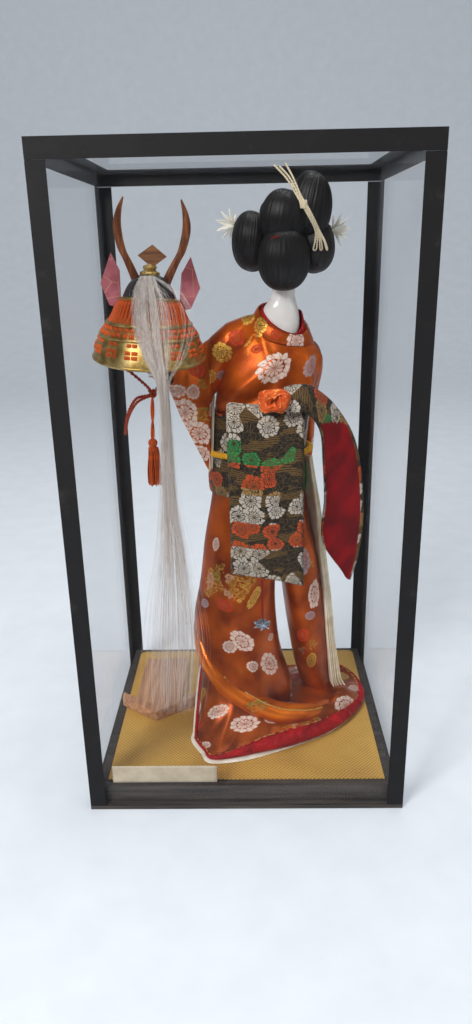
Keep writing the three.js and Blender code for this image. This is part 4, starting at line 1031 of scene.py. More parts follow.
def smooth_line(points, count):
    """An open smooth curve through points."""
    p = np.asarray(points, float)
    ghost = np.concatenate([[2 * p[0] - p[1]], p, [2 * p[-1] - p[-2]]])
    t = np.linspace(0, len(p) - 1, count)
    i = np.minimum(t.astype(int), len(p) - 2)
    t = (t - i)[:, None]
    a, b, c, d = (ghost[i + k] for k in range(4))
    return between(t, b, c, (c - a) / 2, (d - b) / 2)


def angle_round(points, middle):
    """Angles of points round a middle, from the doll's right by way of its front: 0 to 360 degrees."""
    return np.arctan2(points[:, 1] - middle[1], points[:, 0] - middle[0]) % (2 * math.pi)


roll_line = smooth_line(ROLL, ROLL_RINGS)


def roll_swell(heights, angles):
    """How far the wrap is pushed out where it runs down on to the padded fold."""
    round_roll = np.unwrap(angle_round(roll_line, WRAP_MIDDLE))
    angles = angles % (2 * math.pi)
    middle, half = read_off(angles, round_roll, roll_line[:, 2:]).T
    shown = eased(angles, round_roll[0] - 0.1, round_roll[0] + 0.35) * (1 - eased(angles, ROLL_END - 0.5, ROLL_END))
    over = heights[:, None] - middle - 0.7 * half
    slope = np.where(over > 0, np.exp(-((over / ROLL_SLOPE) ** 2)), np.exp(-((over / ROLL_TUCK) ** 2)))
    return shown * slope * (1.5 + 0.7 * half)


skirt_heights = np.linspace(0.4, WAIST, SKIRT_ROWS)
round_left = all_round(LEFT_WRAP_COLUMNS)
round_right = all_round(RIGHT_WRAP_COLUMNS)
drape = 0.7 * np.sin(5 * round_left + skirt_heights[:, None] / 40) * eased(skirt_heights, 60, 110)[:, None]
smooth_wrap = ovals(LEFT_WRAP, skirt_heights, round_left)
pulled = sum(crease(smooth_wrap, *one) for one in LEFT_WRAP_CREASES) * eased(-np.sin(round_left), 0.0, 0.3)
swell = roll_swell(skirt_heights, round_left) + drape + pulled
left_grid = over_brocade(ovals(LEFT_WRAP, skirt_heights, round_left, swell))
# The wraps' satin ground is darker than the bodice's: painted shade on the same cloth.
skirt_satin_painted_shade = satin_brocade("orange_satin_skirt_painted_shade", (0.006, 0.013, 0.0), ("6c2200", "c0560a"))
left_mesh = strew(skin("skirt_left_wrap", left_grid, wrapped=True), LEFT_WRAP_FLOWERS, 4)
cloth_piece(
    left_mesh, left_grid, skirt_satin_painted_shade, "kimono", "skirt_left", thick=0.0012, offset=-1.0,
    held="gathered", rests_on=["sash_band", "brocade_panel"],
)

roll_rings = tube(roll_line[:, :3], roll_line[:, 3] * (1 + 0.03 * np.sin(np.arange(ROLL_RINGS) / 5.5)), ROLL_SIDES)
# The padded fold's satin ground is lighter than the skirt's: a painted highlight on the same cloth.
roll_satin_painted_highlight = satin_brocade("orange_satin_roll_painted_highlight", (0.01, 0.03, 0.0), ("963602", "e8780e"), 0.8, 0.2)
roll_mesh = strew(solid("skirt_padded_fold", roll_rings), ROLL_FLOWERS, 5, False)
skirt_roll = piece(roll_mesh, roll_satin_painted_highlight, "base", "kimono")

drape = 0.6 * np.sin(4 * round_right + skirt_heights[:, None] / 30)
right_grid = over_brocade(ovals(RIGHT_WRAP, skirt_heights, round_right, drape))
right_mesh = strew(skin("skirt_right_wrap", right_grid, wrapped=True), RIGHT_WRAP_FLOWERS, 6)
cloth_piece(
    right_mesh, right_grid, skirt_satin_painted_shade, "kimono", "skirt_right", thick=0.0012, offset=-1.0,
    held="gathered", rests_on=["sash_band", "brocade_panel"],
)


# Layered front edges
# The cream edges of the under-robes, one behind the other down the right wrap like the leaves of
# a book. They are stitched at the sash and fan out where they reach the train.
EDGE_LEAVES = 5
LEAF_ROWS = 70
# Height, place of the stack's outer side, width of the stack
LEAF_STACK = [(12, 86, 13), (22, 80.5, 9.5), (61, 74.5, 6.8), (134, 66, 5.2), (185, 58.5, 3.8), (222, 52.5, 2.6)]

leaf_heights = np.linspace(222, 12.5, LEAF_ROWS)
stack = np.asarray(LEAF_STACK, float)
stack_out, stack_wide = read_off(leaf_heights, stack[:, 0], stack[:, 1:]).T
leaf_section = section(RIGHT_WRAP, leaf_heights)
for leaf in range(EDGE_LEAVES):
    wave = 0.3 * np.sin(leaf_heights / 13 + leaf * 1.7)
    x = stack_out - stack_wide * (1 - (leaf + 0.8) / EDGE_LEAVES) + wave
    root_x = leaf_section[:, 0] + 0.8 * leaf_section[:, 2]
    tip_y = leaf_section[:, 1] - 10.0 + 1.1 * leaf - 3.0 * eased(leaf_heights, 50, 12)
    root_y = leaf_section[:, 1] + 6.0
    columns = []
    for share in np.linspace(0, 1, 9):
        out = root_x + (x - root_x) * share**0.7 + 1.4 * share**3
        columns.append(np.stack([out, root_y + (tip_y - root_y) * share, leaf_heights], axis=1))
    grid = over_brocade(np.stack(columns, axis=1))
    stands_for = ["front_edges"] if leaf == 0 else []
    cloth_piece(
        skin(f"front_edge_leaf_{leaf}", grid), grid, cream_silk, "cream_silk", *stands_for, thick=0.0008,
        held="hung", rests_on=["skirt_right_wrap"],
    )


# Train and padded hem
# The skirt runs out over the brocade in a train. Its hem is rolled over a wadding of cotton and
# faced with red silk, and the white under-robe's thinner hem lies under it on the floor.
HEM = [
    (-41, -33), (-42, -47), (-34, -63), (-25, -75), (8, -69.5), (42, -58.5), (74, -38), (98, -7), (104, 18),
    (97, 48), (78, 66), (42, 62), (4, 48), (-28, 28), (-39, -6),
]
TRAIN_MIDDLE = (20, -4)
TRAIN_TOP = (52, 33, 14)
TRAIN_CLIMB = 60
TRAIN_INSIDE = 15
TRAIN_COLUMNS = 300
TRAIN_ROWS = 34
INSIDE_ROWS = 8
# The hem is fullest at the back and thin at its left corner: half-width and half-height there
HEM_FULLEST = -1.4
HEM_SPREAD = (0.62, 1.7)
HEM_THIN = (1.4, 1.2)
HEM_FULL = (7.0, 5.8)
UNDER_HEM_HALF = (4.4, 0.75)
EDGING_RADIUS = 0.5
# The way the gold thread faces on the padded fold
FOLD_CREST = (0.25, -0.62, 0.75)
# The train rises to the padded fold's tucked end: direction from its middle, half-angle, height
TUCK_RISE = (-0.2, 0.5, 6.5)
TUCK_FROM, TUCK_TO = math.radians(322), math.radians(348)
TRAIN_FLOWERS = [
    (-22, -43, 10, 0.7, 30, WHITE),
    (-1, -51, 12.5, 0.75, 20, WHITE),
    (-32, -58, 5, 0.8, 0, WHITE),
    (83, -16, 12.5, 0.8, 60, WHITE),
    (20, -45, 6.5, 0.7, 0, WHITE),
    (93, 10, 6, 0.7, 40, WHITE),
    (45, -42, 14, 0.5, 20, SPRIGS),
]
SIDE_EDGE = [(-41.5, -47, 3), (-41.5, -40, 8), (-39.8, -36, 25), (-37.6, -32, 44), (-35.5, -28, 58)]


def smooth_loop(points, count):
    """A closed smooth curve through points, with its samples evenly spaced."""
    p = np.asarray(points, float)
    out = []
    for i in range(len(p)):
        a, b, c, d = (p[(i + k) % len(p)] for k in (-1, 0, 1, 2))
        t = np.linspace(0, 1, 40, endpoint=False)[:, None]
        out.append(between(t, b, c, (c - a) / 2, (d - b) / 2))
    line = np.concatenate(out)
    closed = np.concatenate([line, line[:1]])
    far = np.concatenate([[0], lengths(closed).cumsum()])
    even = np.linspace(0, far[-1], count, endpoint=False)
    return read_off(even, far, closed)


hem_edge = smooth_loop(HEM, TRAIN_COLUMNS)
hem_out = unit(hem_edge - TRAIN_MIDDLE)
from_fullest = within_half_turn(np.arctan2(hem_out[:, 1], hem_out[:, 0]) - HEM_FULLEST)
fullness = np.exp(-(np.abs(from_fullest / np.where(from_fullest < 0, *HEM_SPREAD)) ** 3))
hem_wide, hem_high = (thin + (full - thin) * fullness for thin, full in zip(HEM_THIN, HEM_FULL))
walk = circle(TRAIN_COLUMNS)

# The train's seam with the hem, then the line up under the padded fold to which it climbs
seam = np.column_stack([hem_edge - hem_out * 1.5 * hem_wide[:, None], 1.9 * hem_high])
offset = seam[:, :2] - TRAIN_MIDDLE
angle = np.arctan2(offset[:, 1] / TRAIN_TOP[1], offset[:, 0] / TRAIN_TOP[0])
level = np.column_stack([np.cos(angle), np.sin(angle), np.ones(TRAIN_COLUMNS)]) * TRAIN_TOP + (*TRAIN_MIDDLE, 0)
round_roll = np.unwrap(angle_round(roll_line, TRAIN_MIDDLE))
round_hem = angle_round(seam, TRAIN_MIDDLE)
under = read_off(round_hem, round_roll, roll_line)
under[:, 2] = np.minimum(under[:, 2] - 0.35 * under[:, 3], TRAIN_CLIMB)
tucked = eased(round_hem, round_roll[0] - 0.35, round_roll[0] + 0.3) * (1 - eased(round_hem, TUCK_FROM, TUCK_TO))
climb = level + (under[:, :3] - level) * tucked[:, None]

share = np.linspace(0, 1, TRAIN_ROWS)[:, None]
folds = 1.3 * (1 + np.sin(7 * walk)) + 0.9 * (1 + np.sin(12 * walk + 1.3)) + 0.5 * np.sin(23 * walk + 0.4)
folds = folds + TUCK_RISE[2] * np.exp(-((within_half_turn(round_hem - TUCK_RISE[0]) / TUCK_RISE[1]) ** 2))
outside = seam + (climb - seam) * share[..., None]
rise = np.maximum(climb[:, 2], seam[:, 2]) - seam[:, 2]
outside[:, :, 2] = seam[:, 2] + rise * share**1.5 + folds * np.sin(np.pi * share) ** 0.8
share = np.linspace(0, 1, INSIDE_ROWS + 1)[1:, None]
inside = climb + ((*TRAIN_MIDDLE, 0) - climb) * 0.85 * share[..., None]
inside[:, :, 2] = climb[:, 2] + (TRAIN_INSIDE - climb[:, 2]) * eased(share, 0.0, 0.5)
train_grid = over_brocade(np.concatenate([outside, inside]))


def hem_grid(half_width, half_height, inset, lowest, pucker, sides=18):
    """A soft roll that follows the hem on the floor, with small puckers where it is sewn."""
    full = 1 + pucker * (np.sin(61 * walk) + 0.7 * np.sin(37 * walk + 1.0) + 0.8 * np.sin(9 * walk))
    angle = circle(sides)
    wide = (half_width * full)[:, None] * np.cos(angle) - (half_width + inset)[:, None]
    high = lowest + (half_height * full)[:, None] * (1 + np.sin(angle))
    grid = np.dstack([hem_edge[:, k : k + 1] + hem_out[:, k : k + 1] * wide for k in (0, 1)] + [high])
    return over_brocade(np.concatenate([grid, grid[:1]]))


def on_floor(rim):
    """Lays a spread-out cloth flat as it is seen from above, with its rise let out backwards."""
    return rim[:, :, 0], rim[:, :, 1] + rim[:, :, 2]


# The train's satin ground is darker than the skirt's: painted shade on the same cloth.
train_satin_painted_shade = satin_brocade("orange_satin_train_painted_shade", (0.003, 0.009, 0.0), ("662404", "b2520e"), 0.7)
train_mesh = strew(skin("train_cloth", train_grid, wrapped=True, laid=on_floor), TRAIN_FLOWERS, 7, lying=True)
cloth_piece(
    train_mesh, train_grid, train_satin_painted_shade, "kimono", "train", thick=0.001,
    held="draped", rests_on=["brocade_panel", "skirt_left_wrap"],
)

hem_mesh = skin("padded_hem_roll", hem_grid(hem_wide, hem_high, 0.6, 1.2, 0.03), wrapped=True)
hem_roll = piece(hem_mesh, red_silk, "base", "red_silk", "padded_hem")

white_silk = silk("white_under_silk", "d2c6b2", "f6efe4", 0.6)
under_half = (np.full(TRAIN_COLUMNS, half) for half in UNDER_HEM_HALF)
under_inset = -2.4 + 5.8 * eased(hem_edge[:, 0], -5, 40)
under_mesh = skin("white_under_hem", hem_grid(*under_half, under_inset, 0.1, 0.02), wrapped=True)
under_hem = piece(under_mesh, white_silk, "base", "cream_silk")


def thread(name, dark, pale, roughness=0.5):
    """Lustrous silk thread, with fine fibres along it."""
    fibre = Finish(name)
    fibres = fibre.noise(fibre.where((3000.0, 250.0, 1.0)), 1.0, 3.0, 0.7)
    return fibre.set(
        Base_Color=fibre.blend(fibres, dark, pale, 0.3, 0.7),
        Roughness=fibre.band(fibres, 0.3, 0.7, roughness - 0.1, roughness + 0.1),
        Normal=fibre.relief(fibres, 0.00008),
        Specular_IOR_Level=0.25,
    )


gold_thread = thread("gold_edging_thread", "a8741a", "ffdf86", 0.3)
gold_thread.set(Metallic=0.7)
fold_crest = (roll_rings @ FOLD_CREST).argmax(axis=1)
edging_lines = {
    "train_gold_edging": outside[0] + (0.0, 0.0, 0.9),
    "fold_gold_edging": roll_rings[np.arange(ROLL_RINGS), fold_crest][38:-28],
}
for name, line in edging_lines.items():
    beads = EDGING_RADIUS * (1 + 0.5 * np.sin(np.arange(len(line)) * 2.1))
    piece(rod(name, line, beads, 6), gold_thread, "base", "gilt")

for name, silk_finish, slot, radius, aside in (
    ("red", red_silk, "red_silk", 1.3, 1.4),
    ("white", white_silk, "cream_silk", 0.9, -0.4),
):
    line = smooth_line(SIDE_EDGE, 60) + (aside, 0.0, 0.0)
    radii = radius * np.sin(np.linspace(0.15, math.pi - 0.15, 60)) ** 0.3
    side_edge = piece(rod(f"train_side_edge_{name}", line, radii, 12), silk_finish, "base", slot)


# Sash
# A stiff brocade of black, gold and coloured silk is wound round the waist, tied in a drum at the
# back with its end hanging below, and one loop of the tie arches out on the right.
BAND_BOTTOM = 195
BAND_TOP = 258
BAND_OUT = 3.3
BAND_ROWS = 26
DRUM_MIDDLE = 17.5
DRUM_HALF_WIDTH = 27
DRUM_THICK = 4
DRUM_CROWN = 2.5
DRUM_SLOPE = 5
DRUM_LINE = [(-17, 257), (-33, 270), (-42, 266), (-46, 248), (-45, 225), (-42, 195), (-40, 165), (-39, 138)]
DRUM_ROWS = 90
# Length of cloth and the flowers' colours at shares of it, from the knot down
DRUM_FLOWERS = (
    0.185,
    [
        (0.0, "cabfb0"), (0.285, "2f8f48"), (0.375, "cf4f1c"), (0.47, "a8824a"), (0.5, "d2c8ba"),
        (0.62, "cf4f1c"), (0.73, "cabfb0"),
    ],
)
FACE_COLUMNS = 29
SASH_RIPPLE = 0.0017
RIBBON_THICK = 1.8
# Inner and outer edge of the tie's loop, from the knot to its tip
RIBBON_EDGES = [
    ((30, -51.5, 268), (30, -41, 283)),
    ((37, -53, 267.5), (40, -39.5, 284.5)),
    ((46, -52, 266), (51, -35, 281.5)),
    ((55, -42, 251), (68, -30, 266)),
    ((58.5, -30, 225), (82, -34, 240)),
    ((61, -20, 195), (89, -32, 195)),
    ((60.5, -18, 160), (87.5, -30, 157)),
    ((78, -22, 134), (82.5, -24, 130)),
]
RIBBON_ROWS = 70
RIBBON_RIM_COLUMNS = 2
# The red lining shows from this share of the way along the inner edge, and that much later at the outer
LINING_FROM, LINING_SLANT = 0.37, 0.12


def sash_brocade(name, shift, rows=None):
    """Black brocade, woven in gold waves and close flowers; rows gives the flowers' colours down it."""
    cloth = Finish(name)
    cloth_at = cloth.where(shift=shift)
    whole, drawn, kind = blossoms(cloth, cloth_at, 0.0135, 13, 0.44, 0.68, 0.24)
    down = cloth.add("SeparateXYZ", {0: cloth.where(shift=shift)}, 1)
    flow = cloth.noise(cloth.where((0.6, 1.2, 1.0), shift=shift), 75.0, 1.0, 0.4)
    ripple = down * (math.pi / SASH_RIPPLE) + flow * 11.0
    waves = abs(cloth.number("SINE", ripple))
    patch = cloth.band(cloth.noise(cloth.where((0.8, 2.0, 1.0), shift=shift), 48.0, 1.0), 0.5, 0.53)
    thin = cloth.band(waves, 0.35, 0.75) * cloth.band(patch, 0.0, 1.0, 0.06, 0.7)
    fine = cloth.noise(cloth.where((1.0, 3.0, 1.0), shift=shift), 420.0, 4.0, 0.75)
    base = cloth.blend(fine, "0b0908", "2c2117", 0.5, 0.66, 0.0, 0.6)
    outlines = cloth.add("TexVoronoi", {"Vector": cloth_at, "Scale": 270.0}, feature="DISTANCE_TO_EDGE")
    outlines = cloth.band(outlines, 0.015, 0.06, 0.3, 0.0)
    base = cloth.blend(outlines, base, "8a6c3c")
    base = cloth.blend(thin, base, "76582c")
    if rows:
        down = cloth.add("SeparateXYZ", {0: cloth.where()}, 1)
        dye = cloth.steps(down * (1 / rows[0]), rows[1], "CONSTANT")
    else:
        dye = cloth.steps(
            kind, [(0.0, "cabfb0"), (0.45, "cf4f1c"), (0.62, "2f8f48"), (0.74, "cabfb0"), (0.9, "a8824a")], "CONSTANT"
        )
    petal = whole * cloth.band(kind, 0.36, 0.365, 0.0, 0.9)
    base = cloth.blend(petal, base, cloth.blend(drawn * 0.85, dye, "15100b"))
    glint = cloth.noise(cloth_at, 1700.0, 2.0, 0.8)
    base = cloth.blend(glint, base, "e9cf8e", 0.62, 0.72, 0.0, 0.35)
    raised = petal + thin * 0.6 + glint
    return cloth.set(
        Base_Color=base,
        Metallic=thin * 0.5,
        Specular_IOR_Level=0.2,
        Roughness=cloth.band(glint, 0.3, 0.7, 0.62, 0.42),
        Normal=cloth.relief(raised, 0.0002),
        Sheen_Weight=0.05,
    )


def folded_strip(left, right, thick, crown):
    """Rings round a strip of doubled cloth: its face from left to right, then its back."""
    forward = unit(np.gradient((left + right) / 2, axis=0))
    normal = unit(np.cross(forward, right - left))
    share = np.linspace(0, 1, FACE_COLUMNS)
    full = np.sqrt(np.maximum(1 - np.abs(2 * share - 1) ** 9, 0.0))
    bow = crown * (1 - (2 * share - 1) ** 2)
    middle = left[:, None] + (right - left)[:, None] * share[:, None] + normal[:, None] * bow[:, None]
    lift = normal[:, None] * (thick / 2 * full)[:, None]
    return np.concatenate([middle + lift, (middle - lift)[:, ::-1][:, 1:-1]], axis=1)


band_share = np.linspace(0, 1, BAND_ROWS)
band_heights = BAND_BOTTOM + (BAND_TOP - BAND_BOTTOM) * band_share
wound = 0.5 * np.sin(band_share * 3 * math.pi)[:, None] + 1.0 * np.sin(band_share * math.pi)[:, None] ** 0.4 - 0.9
band_grid = over_brocade(torso_grid(band_heights, round_bodice, BAND_OUT + wound))
band_brocade = sash_brocade("sash_brocade_band", (0.0, 0.004, 0.0))
band_mesh = skin("sash_band_cloth", band_grid, wrapped=True)
cloth_piece(
    band_mesh, band_grid, band_brocade, "sash", "sash_band", thick=0.002, offset=-1.0,
    held="stretched", rests_on=["bodice_cloth"],
)

drum_line = smooth_line([(0, y, z) for y, z in DRUM_LINE], DRUM_ROWS)
down_drum = np.linspace(0, 1, DRUM_ROWS)
drum_sides = []
for side in (-1, 1):
    edge = drum_line.copy()
    edge[:, 0] = DRUM_MIDDLE + side * (DRUM_HALF_WIDTH + 0.5 * np.sin(down_drum * 7 + side))
    edge[:, 2] -= down_drum**2 * DRUM_SLOPE * side
    edge[:, 1] += 0.8 * np.sin(down_drum * 9 + 2 * side) * eased(down_drum, 0.3, 0.6)
    drum_sides.append(edge)
drum_rings = over_brocade(folded_strip(*drum_sides, DRUM_THICK, -DRUM_CROWN))
drum_brocade = sash_brocade("sash_brocade_drum", (0.0033, 0.0061, 0.0), DRUM_FLOWERS)
drum_mesh = skin("sash_drum_cloth", drum_rings, wrapped=True, ends=True)
cloth_piece(
    drum_mesh, drum_rings[:, :FACE_COLUMNS], drum_brocade, "sash", "sash_drum",
    held="folded", rests_on=["sash_band_cloth"],
)

ribbon_edges = np.asarray(RIBBON_EDGES, float)
ribbon_inner = smooth_line(ribbon_edges[:, 0], RIBBON_ROWS)
ribbon_outer = smooth_line(ribbon_edges[:, 1], RIBBON_ROWS)
ribbon_rings = over_brocade(folded_strip(ribbon_inner, ribbon_outer, RIBBON_THICK, 1.5))
ribbon_mesh = skin("sash_ribbon_cloth", ribbon_rings, wrapped=True, ends=True)
lining_faces = range(RIBBON_RIM_COLUMNS, FACE_COLUMNS - 1 - RIBBON_RIM_COLUMNS)
ring_columns = ribbon_rings.shape[1]
for polygon in ribbon_mesh.polygons:
    row, column = divmod(polygon.index, ring_columns)
    turned = row > RIBBON_ROWS * (LINING_FROM + LINING_SLANT * column / FACE_COLUMNS)
    polygon.material_index = int(turned and column in lining_faces)
ribbon_brocade = sash_brocade("sash_brocade_ribbon", (0.011, 0.002, 0.0))
ribbon_lining = silk("deep_red_lining", "55050a", "82090f", 0.6)
cloth_piece(
    ribbon_mesh, ribbon_rings[:, :FACE_COLUMNS], [ribbon_brocade, ribbon_lining], "sash", "sash_ribbon",
    held="folded", rests_on=["sash_drum_cloth"],
)


# Sash cord and scarf
# A braided yellow cord is tied round the middle of the sash and holds the drum. The scarf that
# carries the drum is orange silk with gold thread; its end is tucked in a soft ring on top.
CORD_HEIGHT = 228
CORD_RADIUS = 2.4
CORD_STRANDS = 3
CORD_TWISTS = 34
CORD_POINTS = 420
SCARF_AT = (22.9, 275.5)
SCARF_RING = 6.0
SCARF_RADIUS = 4.1


def rope(name, line, radius, strands, twists, sides=8, closed=False):
    """Twisted cord: strands that wind round one another along a line of points in millimetres."""
    line = np.asarray(line, float)
    aside, above = steady_frames(line, closed)
    turn = np.linspace(0, 2 * math.pi * twists, len(line), endpoint=not closed)[:, None, None]
    round_strand = circle(sides)[:, None]
    meshes = []
    for strand in range(strands):
        phase = turn + 2 * math.pi * strand / strands
        rings = line[:, None] + 0.46 * radius * (np.cos(phase) * aside + np.sin(phase) * above)
        rings = rings + 0.56 * radius * (np.cos(round_strand) * aside + np.sin(round_strand) * above)
        if closed:
            rings = np.concatenate([rings, rings[:1]])
        meshes.append(skin(name, over_brocade(rings), wrapped=True, ends=not closed))
    return together(name, meshes)


cord_out = BAND_OUT + 0.3 + CORD_RADIUS
cord_line = ovals(TORSO, [CORD_HEIGHT], circle(CORD_POINTS), cord_out)[0]
yellow_thread = thread("braided_yellow_cord", "b87406", "fbc62e")
cord_braid = rope("sash_cord_braid", cord_line, CORD_RADIUS, CORD_STRANDS, CORD_TWISTS, closed=True)
piece(cord_braid, yellow_thread, "base", "gold_cord", "sash_cord")

scarf_silk = silk("orange_scarf_crepe", "b33c0c", "f07030", 0.6)
fleck = scarf_silk.band(scarf_silk.noise("UV", 420.0, 2.0, 0.7), 0.6, 0.65)
plain = Wire(scarf_silk, scarf_silk.shader.inputs["Base Color"].links[0].from_socket)
scarf_silk.set(Base_Color=scarf_silk.blend(fleck, plain, "f3cf7a"), Metallic=fleck * 0.6)
scarf_front = min(y for y, _ in DRUM_LINE) - DRUM_CROWN - DRUM_THICK / 2
turn, side = circle(72)[:, None], circle(24)
pleats = 1 + 0.15 * np.sin(5 * side + 3 * turn) + 0.1 * np.sin(9 * side - 4 * turn) + 0.14 * np.sin(5 * turn + 1)
pleats = SCARF_RADIUS * pleats
ring = SCARF_RING * (1 + 0.08 * np.sin(2 * turn + 0.6)) + pleats * np.cos(side)
scarf_y = scarf_front - 1.2 + 1.6 * np.sin(turn) + 1.15 * pleats * np.sin(side)
scarf_z = SCARF_AT[1] + 0.84 * ring * np.sin(turn) + 1.2 * np.sin(3 * turn)
scarf_rings = np.stack([SCARF_AT[0] + ring * np.cos(turn), scarf_y, scarf_z], axis=2)
scarf_rings = over_brocade(np.concatenate([scarf_rings, scarf_rings[:1]]))
scarf = piece(skin("sash_scarf_ring", scarf_rings, wrapped=True), scarf_silk, "base", "kimono", "sash_scarf")


# Pendant
# A flower of silver foil petals on wire, hung from the sash's end on a doubled red silk string.
# It swings freely under the drum.
PENDANT_X = 14
STRING_LENGTH = 30
CHARM_RADIUS = 7.5
STRING_RADIUS = 1.1
PENDANT_PETALS = 13
PENDANT_HEART = 5

drum_y, drum_z = DRUM_LINE[-1]
hang_share = (PENDANT_X - DRUM_MIDDLE) / DRUM_HALF_WIDTH
hang_y = drum_y - DRUM_CROWN * (1 - hang_share**2)
hang_at = np.array([PENDANT_X, hang_y, drum_z - DRUM_SLOPE * hang_share - 0.3])
charm_at = hang_at - (0, 0, STRING_LENGTH + CHARM_RADIUS - 1.0)


def leaf_petal(name, root, tip, up, width, cup, rows=10, columns=7, point=0.6):
    """A cut petal from root to tip, cupped towards up."""
    along = tip - root
    across = unit(np.cross(along, up))
    lift = unit(np.cross(across, along))
    s = np.linspace(0, 1, rows)[:, None, None]
    w = np.linspace(-1, 1, columns)[None, :, None]
    half = width * (np.sin(np.pi * np.clip(s, 0.02, 0.985) ** 0.8) ** point)
    points = root + along * s + across * half * w + lift * (cup * (w**2) * half / width + cup * 0.8 * s**2)
    return skin(name, over_brocade(points))


# The foil's colour holds painted light: white specks are painted glints and navy specks are painted shade, over
# blue-grey silver.
foil_painted_light = mottled(
    "blue_foil_painted_glints_and_shade", "UV", (650.0, 2.0, 0.7), [(0.4, "1a2838"), (0.5, "8494a4"), (0.6, "fbfcfd")],
    (0.3, 0.7, 0.15, 0.35), 0.0006, Metallic=0.6,
)
charm_parts = []
for i, a in enumerate(circle(PENDANT_PETALS) + 0.2):
    reach = CHARM_RADIUS * (1.0 if i % 2 else 0.8)
    tip = charm_at + (reach * math.cos(a), -1.5 if i % 2 else 0.6, 0.72 * reach * math.sin(a))
    charm_parts.append(leaf_petal("charm", charm_at, tip, (0.4 * math.cos(a), -1, 0.4 * math.sin(a)), 1.15, 0.9))
for a in circle(PENDANT_HEART) + 0.5:
    tip = charm_at + (3.6 * math.cos(a), -1.9, 3.0 * math.sin(a))
    charm_parts.append(leaf_petal("charm", charm_at + (0, -0.9, 0), tip, (0, -1, 0), 1.3, 0.6))
charm = piece(together("pendant_flower", charm_parts), foil_painted_light, "pendant", "silver", "pendant")
thicken(charm, 0.00025)

red_thread = thread("red_silk_thread", "4e0606", "a31612")
string_line = [hang_at - (0, 0, d) for d in np.linspace(0.0, STRING_LENGTH + CHARM_RADIUS - 1.0, 40)]
pendant_string = piece(rope("pendant_string", string_line, STRING_RADIUS, 2, 9), red_thread, "pendant", "red_silk")


# Head
# Head and neck are carved in one and coated in polished shell white; a peg under the neck turns in
# the torso. The face is a plain calm one, painted on in thin colour.

# Radius, height and shift to the left
NECK_LINE = [
    (8, -2.5, 0.6),
    (11.2, 4, 1.6),
    (13, 12, 2.9),
    (13.4, 20, 3.4),
    (12.4, 27.5, 3.4),
    (9.8, 33, 2.4),
    (8.3, 39, 1.6),
    (8.2, 46, 1),
    (9, 56, 0),
]
NECK_FLAT = 0.68
SKULL_AT = np.array([0.0, 6.0, 71.0])
SKULL = np.array([17.0, 20.0, 25.0])
HEAD_ROWS = 70
HEAD_COLUMNS = 96
# Nose, its bridge, two eye sockets, lips and chin: height of the form, its place and half-widths
FACE_FORMS = [
    (0.10, 0, 0.085, -0.2, 0.16),
    (0.035, 0, 0.07, 0.02, 0.2),
    (-0.028, 0.3, 0.15, 0.02, 0.1),
    (-0.028, -0.3, 0.15, 0.02, 0.1),
    (0.025, 0, 0.13, -0.5, 0.07),
    (0.03, 0, 0.2, -0.78, 0.14),
]
EYE_ACROSS = 6.2
EYE_UP = 0.4
BROW_UP = 6.0
LIPS_UP = -12.2


def skull_points(direction):
    """Surface of the head in one direction from its middle: an egg with a small nose, brow and chin."""
    d = unit(direction)
    x, y, z = np.moveaxis(d, -1, 0)

    def bump(height, x_at, half_x, z_at, half_z):
        return height * np.exp(-(((x - x_at) / half_x) ** 2) - (((z - z_at) / half_z) ** 2))

    features = sum(bump(*one) for one in FACE_FORMS)
    narrow = 1 - 0.16 * eased(-z, 0.1, 0.9)
    grown = d * (1 + eased(y, 0.2, 0.75) * features)[..., None] * SKULL
    grown[..., 0] *= narrow
    return grown + SKULL_AT


polar = np.linspace(-math.pi / 2 + 0.02, math.pi / 2 - 0.02, HEAD_ROWS)[:, None]
round_head = all_round(HEAD_COLUMNS)
head_direction = lathe(np.cos(polar), round_head, np.sin(polar))
skull_mesh = solid("head_carving", skull_points(head_direction) + NECK_AT)
neck_line = smooth_line([(r, aside, z) for r, z, aside in NECK_LINE], 40)
neck_depth = NECK_FLAT + (1 - NECK_FLAT) * eased(neck_line[:, 2:3], 24, 42)
neck_rings = lathe(neck_line[:, 0:1], round_head, neck_line[:, 2:3])
neck_rings[:, :, 0] -= neck_line[:, 1:2]
neck_rings[:, :, 1] *= neck_depth
neck_rings[:, :, 1] += 1.2 * eased(neck_line[:, 2:3], 30, 56)
neck_mesh = solid("neck", neck_rings + NECK_AT)
peg_line = np.array([[0.0, 0.0, -PEG_LENGTH], [0.0, 0.0, 1.0]])
peg_mesh = rod("peg", peg_line + NECK_AT, PEG_RADIUS, 24)
piece(together("head_carving", [skull_mesh, neck_mesh, peg_mesh]), shell_white, "head", "skin", "head")


def painted(name, middle, half_width, half_height, lift, slant=0.0):
    """A thin almond of colour on the head's surface, round a middle of (across, up)."""
    a = circle(28)
    x = half_width * np.cos(a)
    up = half_height * np.sin(a) * np.abs(np.sin(a)) ** 0.4 + slant * x
    grid = middle + np.stack([x, up], axis=1) * np.linspace(0.02, 1, 5)[:, None, None]
    direction = np.stack([grid[..., 0], np.full(grid.shape[:2], 20.0), grid[..., 1]], axis=2) / SKULL
    surface = skull_points(direction)
    surface = surface + lift * unit(surface - SKULL_AT)
    return skin(name, over_brocade(surface + NECK_AT), wrapped=True)


def paint(name, code, roughness=0.35):
    coat = Finish(name)
    worn = coat.noise("Object", 700.0, 3.0)
    tone = coat.blend(worn, code, "f2e8e0", 0.3, 0.7, 0.0, 0.25)
    return coat.set(Base_Color=tone, Roughness=roughness)


